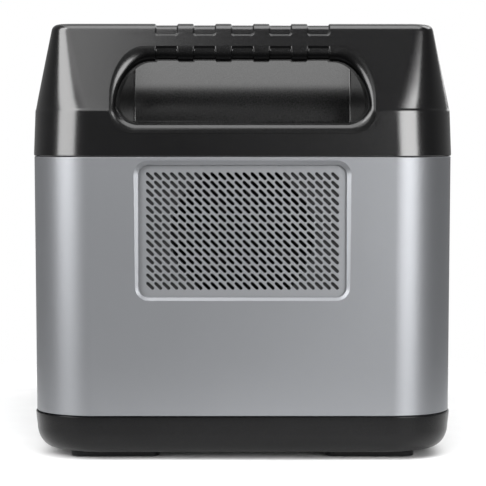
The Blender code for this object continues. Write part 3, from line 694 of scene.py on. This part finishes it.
def make_cover():
    """The moulded top: hollow under its deck and slopes, and solid at the two handle bars."""
    wall = 0.003
    cover = mesh_object("cover_shell", add_cover_skin)

    def cavity(bm):
        rows = (
            (SEAM_Z - 0.01, HALF_WIDTH, CORNER),
            (SEAM_Z, HALF_WIDTH, CORNER),
            (CREASE, SHOULDER_HALF, CORNER),
            (0.2660, 0.1186, 0.020),
            (0.2668, 0.1175, 0.018),
        )
        add_plan_rows(bm, [(z, half - wall, radius - wall) for z, half, radius in rows])

    hollow = mesh_object("tool_cover_hollow", cavity)
    bar_low, bar_high = (-0.088, -BEYOND_END, 0.2540), (0.088, -0.1525, OVER)
    for turn_end in (False, True):
        cut(hollow, lambda bm: add_box(bm, bar_low, bar_high), turn_end)
    bake(hollow)
    combine(cover, hollow, "DIFFERENCE")

    opening = opening_outline(1.0, grow=SEAM)
    well = well_rings(LINER_WALL + SEAM, 0.18, OVER)
    for turn_end in (False, True):
        cut(cover, lambda bm: add_prism(bm, opening, -BEYOND_END, -LIP_BACK_Y, "Y"), turn_end)
        cut(cover, lambda bm: add_skin(bm, well), turn_end)
        cut(cover, lambda bm: round_bar_back(bm, HEIGHT, 1, 0.0790, 0.0035), turn_end)

    tray_low, tray_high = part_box("cable_tray")
    flange, rim = 0.003, SEAM + 0.0001
    hole_low = (tray_low[0] + flange - rim, tray_low[1] + flange - rim, 0.25)
    hole_high = (tray_high[0] - flange + rim, tray_high[1] - flange + rim, OVER)
    cut(cover, lambda bm: add_box(bm, hole_low, hole_high))
    settle(cover, BLACK, HOUSING, ["top_cover"])


def lip_rows():
    """Steps from the lip's outer edge to the opening.

    Each is a (share, depth) under the bar and a (share, depth) on the sill.
    """
    steps, straight, start, end = 12, 2, math.radians(6), math.radians(65)
    flat_share = 0.30
    flat_depth = flat_share * SILL_RISE * math.tan(start)
    bend = (1 - flat_share) * SILL_RISE / (math.sin(end) - math.sin(start))
    rows = []
    for i, t in enumerate(quarter_turn(steps)):
        under_bar = (1 - math.sin(t), LIP_DEPTH * (1 - math.cos(t)))
        if i <= straight:
            sill = (1 - flat_share * i / straight, flat_depth * i / straight)
        else:
            turn = start + (end - start) * (i - straight) / (steps - straight)
            sill = (
                (1 - flat_share) - bend * (math.sin(turn) - math.sin(start)) / SILL_RISE,
                flat_depth + bend * (math.cos(start) - math.cos(turn)),
            )
        rows.append((under_bar, sill))
    return rows


def press_pockets(rings, first, last):
    """Presses the lower half of the finger pockets into the bar's rings from first to last."""
    for i, (x, _, z) in enumerate(rings[-1]):
        if abs(x) > POCKETS_END or z < BAR_LOW:
            continue
        line = [Vector(rings[k][i]) for k in range(first, last + 1)]
        along = 0.0
        for k, point in enumerate(line):
            before, after = line[max(k - 1, 0)], line[min(k + 1, len(line) - 1)]
            along += (point - before).length
            ahead = after - before
            inward = Vector((0.0, -ahead.z, ahead.y)).normalized()
            share = pocket_share(x, along)
            rings[first + k][i] = tuple(point + inward * share * POCKET_DEPTH)


def add_lip(bm):
    """Rounded lip of the hand opening, with the lower half of the bar and its pockets."""
    outer, inner = opening_outline(1.0), opening_outline(0.0)
    rings = [
        in_space(outer, -LIP_BACK_Y, "Y"),
        [(x, -face_y(z) + 0.0002, z) for x, z in outer],
    ]
    for (top_share, top_depth), (sill_share, sill_depth) in lip_rows():
        ring = []
        tops, sills = opening_outline(top_share), opening_outline(sill_share)
        for top, sill, (_, height) in zip(tops, sills, inner):
            t = (height - OPENING_LOW) / (OPENING_HIGH - OPENING_LOW)
            x, z = sill[0] + t * (top[0] - sill[0]), sill[1] + t * (top[1] - sill[1])
            ring.append((x, sill_depth + t * (top_depth - sill_depth) - face_y(z), z))
        rings.append(ring)
    for y in (-0.1740, -0.1700, -0.1640, -0.1580, -0.1552, -LIP_BACK_Y):
        rings.append(in_space(inner, y, "Y"))
    press_pockets(rings, 2, len(rings) - 2)
    add_skin(bm, rings, closed=True)


def make_liner(end, turn_end):
    """Handle liner: the lip of the hand opening with the well behind it."""
    outside = well_rings(LINER_WALL, WELL_FLOOR - LINER_WALL, WELL_DECK, front_shift=0.0002)
    inside = well_rings(0.0, WELL_FLOOR, OVER, floor_round=0.004, rim=0.0018)
    liner = mesh_object(f"handle_well_{end}", add_lip, turn_end)
    cut(liner, lambda bm: add_skin(bm, outside), turn_end, "UNION")
    cut(liner, lambda bm: add_skin(bm, inside), turn_end)
    cut(liner, lambda bm: round_bar_back(bm, OPENING_HIGH, -1, 0.0560, 0.0012), turn_end)
    settle(liner, BLACK_INSERT, HOUSING, [f"handle_liner_{end}"])
    liner.data.materials.append(WELL_BLACK)
    for polygon in liner.data.polygons:
        polygon.material_index = int(abs(polygon.center.y) < BAR_BACK_Y - 0.0005)


# ------------ case and vents


def make_sleeve():
    """Case sleeve with a bevelled vent window in both ends and the panel's opening in a side."""
    wall, edge = 0.0028, 0.0006

    def shell(bm):
        low_half, high_half = SLEEVE_BOX[1][0] - 0.0008, SLEEVE_BOX[1][0]
        turns = quarter_turn(6)
        rows = [(SLEEVE_LOW + edge * (1 - math.cos(t)), -edge * (1 - math.sin(t))) for t in turns]
        rows += [(SLEEVE_LOW + 0.02 + 0.02 * i, 0.0) for i in range(7)]
        rows += [(SLEEVE_HIGH - edge * (1 - math.sin(t)), -edge * (1 - math.cos(t))) for t in turns]
        rings = []
        for z, grow in rows:
            share = (z - SLEEVE_LOW) / (SLEEVE_HIGH - SLEEVE_LOW)
            half = low_half + share * (high_half - low_half) + grow
            rings.append(skin_ring(half, CORNER + grow, z))
        for z, half in ((SLEEVE_HIGH, high_half), (SLEEVE_LOW, low_half)):
            rings.append(skin_ring(half - wall, CORNER - wall, z))
        add_skin(bm, rings, closed=True)

    def vent_window(bm):
        face = 0.1306 + END_EXTRA
        rows = (
            (-VENT_BEVEL_DEPTH, VENT_BEVEL),
            (0.0, 0.0),
            (VENT_BEVEL_DEPTH, -VENT_BEVEL),
            (VENT_BEVEL_DEPTH + 0.0004, -VENT_BEVEL - 0.0002),
            (0.010, -VENT_BEVEL - 0.0002),
        )
        rings = []
        for depth, grow in rows:
            outline = rounded(VENT_HALF_X, VENT_HALF_Z, VENT_CORNER, 10, (0.0, VENT_Z), grow)
            rings.append(in_space(outline, depth - face, "Y"))
        add_skin(bm, rings)

    panel_low, panel_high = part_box("control_panel")
    border = 0.005
    middle = (0.0, (panel_low[2] + panel_high[2]) / 2)
    half_y, half_z = panel_high[1] - border, (panel_high[2] - panel_low[2]) / 2 - border

    def side_window(bm):
        face = SLEEVE_BOX[1][0] - 0.0004
        rings = []
        for out, grow in (
            (0.004, 0.0040), (0.0, 0.0006), (-0.0004, 0.0001), (-0.0010, 0.0), (-0.02, 0.0)
        ):
            outline = rounded(half_y, half_z, 0.010, 10, middle, grow)
            rings.append(in_space(outline, face + out, "X"))
        add_skin(bm, rings)

    sleeve = mesh_object("case_shell", shell)
    for turn_end in (False, True):
        cut(sleeve, vent_window, turn_end)
    cut(sleeve, side_window)
    settle(sleeve, SILVER, HOUSING, ["body_sleeve"], sharp=18.0)


def slot_outline(x, z):
    """A slanted slot with round ends, as the drawn line that the grille's edge bevel grows from."""
    radius = SLOT_WIDTH / 2 + GRILLE_EDGE
    reach = SLOT_LENGTH / 2 - SLOT_WIDTH / 2
    points = []
    for side, turned in ((1, 0), (-1, math.pi)):
        centre_x = x + side * reach * math.cos(SLOT_SLANT)
        centre_z = z + side * reach * math.sin(SLOT_SLANT)
        start = SLOT_SLANT + turned - math.pi / 2
        points += arc((centre_x, centre_z), radius, start, math.pi, 5)
    return points


def make_grille(end, turn_end):
    """The plate with its lattice of slots, drawn flat and stood up behind the vent window."""
    curve = bpy.data.curves.new(f"grille_{end}", "CURVE")
    curve.dimensions = "2D"
    curve.fill_mode = "BOTH"
    curve.extrude = 0.00055
    curve.bevel_depth = GRILLE_EDGE
    curve.bevel_resolution = 1
    outlines = [rounded(VENT_HALF_X + GRILLE_MARGIN, VENT_HALF_Z + GRILLE_MARGIN, 0.008)]
    for column in range(SLOT_COLUMNS):
        for row in range(SLOT_ROWS):
            x = (column - (SLOT_COLUMNS - 1) / 2) * SLOT_PITCH_X
            z = (row - (SLOT_ROWS - 1) / 2) * SLOT_PITCH_Z
            outlines.append(slot_outline(x, z))
    for outline in outlines:
        spline = curve.splines.new("POLY")
        spline.points.add(len(outline) - 1)
        spline.use_cyclic_u = True
        for point, (a, b) in zip(spline.points, outline):
            point.co = (a, b, 0.0, 1.0)
    drawn = link(f"drawn_{end}", curve)
    mesh = evaluated_mesh(drawn)
    bpy.data.objects.remove(drawn, do_unlink=True)
    middle = Vector((*middle_of(*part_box(f"vent_grille_{end}")), VENT_Z))
    stand = Matrix.Rotation(math.pi / 2, 4, "X")
    turn = Matrix.Rotation(math.pi if turn_end else 0.0, 4, "Z") @ stand
    mesh.transform(Matrix.Translation(middle) @ turn)
    grille = link(f"grille_{end}", mesh)
    settle(grille, GRILLE_SILVER, HOUSING, [f"vent_grille_{end}"])


# ------------ base


def make_base():
    """Base tray: a rounded underside, a foot block at each corner, a boss round each screw."""
    top_half, seam = BASE_BOX[1][0], BASE_BOX[1][2]
    rows = [(0.0036, 0.1150, 0.028), (0.0038, 0.1172, 0.030)]
    for t in quarter_turn(12):
        half = top_half - 0.0008 - 0.0110 * (1 - math.sin(t))
        rows.append((0.0042 + 0.0148 * (1 - math.cos(t)), half, CORNER - (top_half - half) * 0.55))
    rows += [
        (0.0230, top_half - 0.0003, CORNER),
        (0.0270, top_half, CORNER),
        (seam - 0.0002, top_half - 0.0001, CORNER),
        (seam, top_half - 0.0005, CORNER - 0.0005),
    ]
    inner = [(0.0066, 0.1190, 0.030), (0.0150, 0.1255, 0.034), (seam + 0.01, 0.1277, 0.034)]
    base = mesh_object("base_shell", lambda bm: add_plan_rows(bm, rows))
    cut(base, lambda bm: add_plan_rows(bm, inner))
    for index in range(1, 5):
        low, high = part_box(f"foot_pad_{index}")
        add_foot(base, low, high)
        add_screw_place(base, middle_of(*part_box(f"base_screw_{index}")))
        make_pad(index, low, high)
    settle(base, BASE_BLACK, HOUSING, ["base_tray"])


def add_foot(base, low, high):
    """A foot block, longer than its pad at both ends, with a seat for the pad."""
    centre = middle_of(low, high)
    half_x, half_y = (high[0] - low[0]) / 2 + 0.003, (high[1] - low[1]) / 2 + 0.003
    reach_y = half_y + 0.0065
    seat_inset = 0.0028

    def foot(bm):
        rings = []
        for z, grow in (
            (0.0046, 0.0006), (0.0030, 0.0), (0.0012, 0.0), (0.0007, -0.0002), (0.0005, -0.0006)
        ):
            rings.append(in_space(rounded(half_x, reach_y, 0.006, 6, centre, grow), z, "Z"))
        add_skin(bm, rings)

    seat = rounded(half_x - seat_inset, half_y - seat_inset, 0.0052, at=centre)
    cut(base, foot, kind="UNION")
    cut(base, lambda bm: add_prism(bm, seat, UNDER, high[2] + 0.0002, "Z"))


def add_screw_place(base, spot):
    """A boss with a screw's hole and the recess for its head."""
    for radius, low, high, kind in (
        (0.0055, 0.0046, 0.018, "UNION"),
        (0.0021, 0.0, 0.03, "DIFFERENCE"),
        (0.0039, 0.0, 0.0061, "DIFFERENCE"),
    ):
        cut(base, lambda bm: add_prism(bm, circle(radius, 24, spot), low, high, "Z"), kind=kind)


def make_pad(index, low, high):
    """Rubber foot pad with rows of shallow grooves underneath."""
    centre = middle_of(low, high)
    half_x, half_y = (high[0] - low[0]) / 2, (high[1] - low[1]) / 2

    def outline_at(grow):
        return rounded(half_x, half_y, 0.005, 6, centre, grow)

    def grooves(bm):
        count, pitch, half_width, depth_z = 8, 0.0068, 0.0008, 0.0005
        half_length = half_x - 0.004
        for k in range(count):
            y = centre[1] + (k - (count - 1) / 2) * pitch
            add_box(
                bm,
                (centre[0] - half_length, y - half_width, UNDER),
                (centre[0] + half_length, y + half_width, depth_z),
            )

    pad = mesh_object(
        f"rubber_pad_{index}",
        lambda bm: add_soft_prism(bm, outline_at, low[2], high[2], "Z", 0.0003),
    )
    cut(pad, grooves)
    settle(pad, RUBBER, HOUSING, [f"foot_pad_{index}"])


# ------------ lid


def make_lid():
    """Storage lid: round along its hinge, hollow underneath, with a finger notch and grooves."""
    low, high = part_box("storage_lid")
    hinge = next(j for j in frame["joints"] if j["name"] == "lid_hinge")
    axis_x, axis_z = hinge["pos_m"][0], hinge["pos_m"][2]
    hinge_radius = high[2] - axis_z
    edge = 0.001
    half_y = high[1]

    def body(bm):
        outline = arc((axis_x, axis_z), hinge_radius, math.pi / 2, math.pi, 16)
        outline += arc((high[0] - edge, low[2] + edge), edge, -math.pi / 2, math.pi / 2, 4)
        outline += arc((high[0] - edge, high[2] - edge), edge, 0.0, math.pi / 2, 4)
        add_prism(bm, outline, -half_y, half_y, "Y")

    def grooves(bm):
        """Shallow grooves that keep things from sliding off the deck."""
        count, pitch = 9, 0.0175
        for k in range(count):
            y = (k - (count - 1) / 2) * pitch
            outline = [
                (y - 0.0024, high[2] + 0.001),
                (y + 0.0024, high[2] + 0.001),
                (y + 0.0012, high[2] - 0.0008),
                (y - 0.0012, high[2] - 0.0008),
            ]
            add_prism(bm, outline, axis_x + 0.014, high[0] - 0.024, "X")

    below = 0.2
    hollow_low = (axis_x + 0.012, 0.008 - half_y, below)
    hollow_high = (high[0] - 0.010, half_y - 0.008, axis_z + 0.0006)
    notch = rounded(0.006, 0.018, 0.004, at=(high[0] + 0.001, 0.0))
    lid = mesh_object("lid_panel", body)
    cut(lid, lambda bm: add_box(bm, hollow_low, hollow_high))
    cut(lid, lambda bm: add_prism(bm, notch, below, OVER, "Z"))
    cut(lid, grooves)
    pin_hole = circle(0.00162, 16, (axis_x, axis_z))
    for ends in ((-0.1, -0.081), (0.081, 0.1)):
        cut(lid, lambda bm: add_prism(bm, pin_hole, *ends, "Y"))
    settle(lid, BLACK, "storage_lid", ["storage_lid"])


# ------------ panel


KEY_BODIES = {
    "display_button": "display_key",
    "usb_button": "usb_key",
    "dc_button": "dc_key",
    "ac_button": "ac_key",
}
# The holes in the panel, cut in this order: half sizes and corner radius, or a radius and steps.
PANEL_HOLES = {
    "display_lens": (0.0400, 0.0145, 0.0030),
    **{node: (0.0068, 0.0038, 0.0018) for node in KEY_BODIES},
}
for number in (1, 2):
    PANEL_HOLES[f"mains_outlet_{number}"] = (0.0153, 0.0183, 0.0030)
    PANEL_HOLES[f"usb_a_port_{number}"] = (0.0083, 0.0045, 0.0010)
    PANEL_HOLES[f"usb_c_port_{number}"] = (0.0059, 0.0031, 0.0029)
    PANEL_HOLES[f"dc_port_{number}"] = (0.0055, 32)
PANEL_HOLES["car_socket"] = (0.0133, 48)
PANEL_HOLES["charge_inlet"] = (0.0088, 40)

# The framed groups of sockets, as (low y, high y, low z, high z).
PANEL_GROUPS = (
    (-0.119, -0.073, 0.056, 0.164), (-0.063, 0.063, 0.056, 0.103), (0.073, 0.119, 0.056, 0.164)
)


def spot_of(node):
    """Middle of a node on the panel's face."""
    low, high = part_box(node)
    return ((low[1] + high[1]) / 2, (low[2] + high[2]) / 2)


def hole_outline(node, grow):
    size, spot = PANEL_HOLES[node], spot_of(node)
    if len(size) == 2:
        radius, steps = size
        return circle(radius + grow, steps, spot)
    half_y, half_z, radius = size
    return rounded(half_y, half_z, radius, 6, spot, grow)


def make_panel():
    low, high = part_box("control_panel")
    face, back = high[0], low[0]
    middle = (0.0, (low[2] + high[2]) / 2)
    outline = rounded(high[1], (high[2] - low[2]) / 2, 0.014, 10, middle)
    plate = mesh_object("panel_plate", lambda bm: add_prism(bm, outline, back, face, "X"))

    def hole(bm, node):
        """A hole with a small chamfer at the face."""
        chamfer = 0.0004
        rows = ((back - 0.01, 0.0), (face - chamfer, 0.0), (face, chamfer), (face + 0.003, 0.0034))
        add_skin(bm, [in_space(hole_outline(node, grow), x, "X") for x, grow in rows])

    def grooves(bm):
        """Fine grooves that frame the groups of sockets."""
        width, depth, radius = 0.0008, 0.0004, 0.006
        for y_low, y_high, z_low, z_high in PANEL_GROUPS:
            half_y, half_z = (y_high - y_low) / 2, (z_high - z_low) / 2
            spot = ((y_low + y_high) / 2, (z_low + z_high) / 2)
            outer = rounded(half_y, half_z, radius, at=spot)
            inner = rounded(half_y, half_z, radius, 6, spot, -width)
            above, floor = face + 0.002, face - depth
            rings = ((outer, above), (inner, above), (inner, floor), (outer, floor))
            add_skin(bm, [in_space(ring, x, "X") for ring, x in rings], closed=True)

    for node in PANEL_HOLES:
        cut(plate, lambda bm: hole(bm, node))
    cut(plate, grooves)
    settle(plate, PANEL_BLACK, HOUSING, ["control_panel"])


def make_keys():
    """Push buttons: a flange behind the panel and a dished cap with a round edge."""
    flange, edge = 0.0012, 0.0006
    half_y, half_z, radius = 0.0065, 0.0035, 0.0015
    for node, body in KEY_BODIES.items():
        low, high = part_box(node)
        spot = spot_of(node)
        back, face = low[0], high[0]

        def shape(bm):
            rim = rounded(0.0085, 0.0055, 0.002, at=spot)
            rings = [in_space(rim, back, "X"), in_space(rim, back + flange, "X")]
            rings.append(in_space(rounded(half_y, half_z, radius, at=spot), back + flange, "X"))
            for t in quarter_turn(4):
                shrink = edge * (1 - math.cos(t))
                outline = rounded(half_y, half_z, radius, 6, spot, -shrink)
                rings.append(in_space(outline, face - edge * (1 - math.sin(t)) - 0.0002, "X"))
            dish = rounded(0.0045, 0.0018, 0.0006, at=spot)
            rings.append(in_space(dish, face - 0.0005, "X"))
            add_skin(bm, rings)

        key = mesh_object(f"key_{node}", shape)
        settle(key, GREY, body, [node])


def make_display():
    low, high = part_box("display_lens")
    spot = spot_of("display_lens")
    half_y, half_z = (high[1] - low[1]) / 2, (high[2] - low[2]) / 2

    def outline_at(grow):
        return rounded(half_y, half_z, 0.0027, 6, spot, grow)

    lens = mesh_object(
        "display_window",
        lambda bm: add_soft_prism(bm, outline_at, low[0], high[0], "X", 0.0004, both=False),
    )
    settle(lens, WINDOW, HOUSING, ["display_lens"])

    def gauge(bm):
        """A battery outline with four bars inside and three lines beside it, as thin marks."""
        def mark(half_a, half_b, radius, at):
            outline = rounded(half_a, half_b, radius, 4, (spot[0] + at[0], spot[1] + at[1]))
            add_prism(bm, outline, high[0] - 0.0001, high[0] + 0.00006, "X")

        battery_y, battery_half, row_pitch = -0.018, 0.0140, 0.0062
        for side in (-1, 1):
            mark(battery_half, 0.0005, 0.0004, (battery_y, side * 0.0075))
            mark(0.0005, 0.0079, 0.0004, (battery_y + side * battery_half, 0.0))
        mark(0.0008, 0.0028, 0.0005, (-0.0026, 0.0))
        for k in range(4):
            mark(0.0024, 0.0054, 0.0006, (-0.0273 + k * row_pitch, 0.0))
        for k in range(3):
            mark(0.0100, 0.0009, 0.0005, (0.018, (k - 1) * row_pitch))

    marks = mesh_object("display_gauge", gauge)
    settle(marks, INK, HOUSING)


# ------------ nodes kept from the CAD


# Each finish, with the starts of its nodes' names. The longest match counts.
FINISHES = (
    (ALUMINIUM, ("heat_sink",)),
    (BLACK_INSERT, ("cable_tray",)),
    (BOARD, ("battery_board", "display_board", "inverter_board")),
    (BRASS, ("car_socket_contact",)),
    (FAN_BLACK, ("fan_rotor",)),
    (FAN_FRAME, ("fan_frame",)),
    (FOAM, ("dust_filter",)),
    (GREY, ("battery_cradle", "display_module", "transformer")),
    (PALE_GREY, ("mains_outlet",)),
    (PANEL_BLACK, ("car_socket", "charge_inlet", "dc_port")),
    (RUBBER, ("car_socket_cap", "inlet_flap")),
    (STEEL, ("base_screw", "battery_strap", "chassis_plate", "lid_hinge_pin", "usb_")),
    (WRAP, ("battery_pack",)),
)


def finish_cad_parts():
    by_start = {start: finish for finish, starts in FINISHES for start in starts}
    for name, node in frame["nodes"].items():
        if node.hide_render:
            continue
        key = max((start for start in by_start if name.startswith(start)), key=len)
        node.data.materials.clear()
        node.data.materials.append(by_start[key])


# ------------ stage


def around(azimuth, distance, height):
    """A place around the object. Azimuth 0 is the camera's side, and grows towards +X."""
    t = math.radians(azimuth)
    return (distance * math.sin(t), -distance * math.cos(t), height)


BODY_MIDDLE = (0.0, 0.0, 0.14)
# Place, place faced, size and power. The strips draw the bright bands on the round corners.
LIGHTS = {
    "left_strip": (around(-48, 1.3, 0.75), (0.0, 0.0, 0.4), (0.80, 1.4), 25.0),
    "right_strip": (around(30, 1.5, 0.30), (0.0, 0.0, 0.2), (0.80, 0.70), 15.8),
    "top_left_softbox": ((-0.42, -1.29, 0.92), (-0.05, -0.19, 0.24), (0.62, 0.50), 2.0),
    "top_front_softbox": ((0.0, -0.62, 1.32), (0.0, -0.19, 0.24), (1.5, 1.05), 18.0),
    "overhead": ((0.0, 0.45, 1.5), BODY_MIDDLE, (1.4, 1.0), 4.0),
    "rear_fill": ((0.6, 1.5, 0.8), BODY_MIDDLE, (1.2, 1.0), 6.0),
    "right_high_softbox": ((1.05, 0.35, 1.30), (0.10, 0.0, 0.1), (0.9, 0.9), 11.0),
}


def make_lights():
    for name, (place, aim, size, power) in LIGHTS.items():
        data = bpy.data.lights.new(name, "AREA")
        data.shape = "RECTANGLE"
        data.size, data.size_y = size
        data.energy = power
        light = link(name, data)
        light.location = place
        light.rotation_euler = (Vector(aim) - Vector(place)).to_track_quat("-Z", "Y").to_euler()


def make_world():
    """White where seen. In reflections the studio is dark in front and below, and pale behind."""
    world = bpy.data.worlds.new("studio")
    bpy.context.scene.world = world
    world.use_nodes = True
    nodes, links = world.node_tree.nodes, world.node_tree.links
    apart = nodes.new("ShaderNodeSeparateXYZ")
    links.new(nodes.new("ShaderNodeTexCoord").outputs["Generated"], apart.inputs["Vector"])
    behind = map_range(nodes, links, apart.outputs["Y"], 0.10, 0.28, -0.1, 0.7)
    above = map_range(nodes, links, apart.outputs["Z"], 0.15, 1.0, -0.5, 0.0)
    strength = nodes.new("ShaderNodeMath")
    strength.operation = "MULTIPLY"
    links.new(behind, strength.inputs[0])
    links.new(above, strength.inputs[1])
    reflected = nodes["Background"]
    reflected.inputs["Color"].default_value = WHITE
    links.new(strength.outputs["Value"], reflected.inputs["Strength"])
    seen = nodes.new("ShaderNodeBackground")
    seen.inputs["Color"].default_value = WHITE
    mix = nodes.new("ShaderNodeMixShader")
    path = nodes.new("ShaderNodeLightPath")
    links.new(path.outputs["Is Camera Ray"], mix.inputs["Fac"])
    links.new(reflected.outputs["Background"], mix.inputs[1])
    links.new(seen.outputs["Background"], mix.inputs[2])
    links.new(mix.outputs["Shader"], nodes["World Output"].inputs["Surface"])


def make_stage():
    def disc(bm):
        bmesh.ops.create_circle(bm, cap_ends=True, segments=96, radius=3.0)

    floor = mesh_object("floor", disc)
    floor.data.materials.append(pale_floor("pale_floor"))
    make_world()
    make_lights()


def make_camera():
    """A long lens in front of the intake end, near the crease's height and tilted down a little."""
    distance, height, tilt = 1.273, 0.2100, 3.36
    data = bpy.data.cameras.new("camera")
    data.sensor_width, data.lens = 36.0, 153.95
    camera = link("camera", data)
    camera.location = (0.0003, -HALF_LENGTH - distance, height)
    camera.rotation_euler = (math.radians(90 - tilt), 0.0, 0.0)
    bpy.context.scene.camera = camera


def main():
    make_camera()
    make_cover()
    for end, turn_end in (("intake", False), ("exhaust", True)):
        make_liner(end, turn_end)
        make_grille(end, turn_end)
    make_sleeve()
    make_base()
    make_lid()
    make_panel()
    make_keys()
    make_display()
    finish_cad_parts()
    make_stage()
    bpy.context.scene.view_settings.view_transform = "Standard"


main()
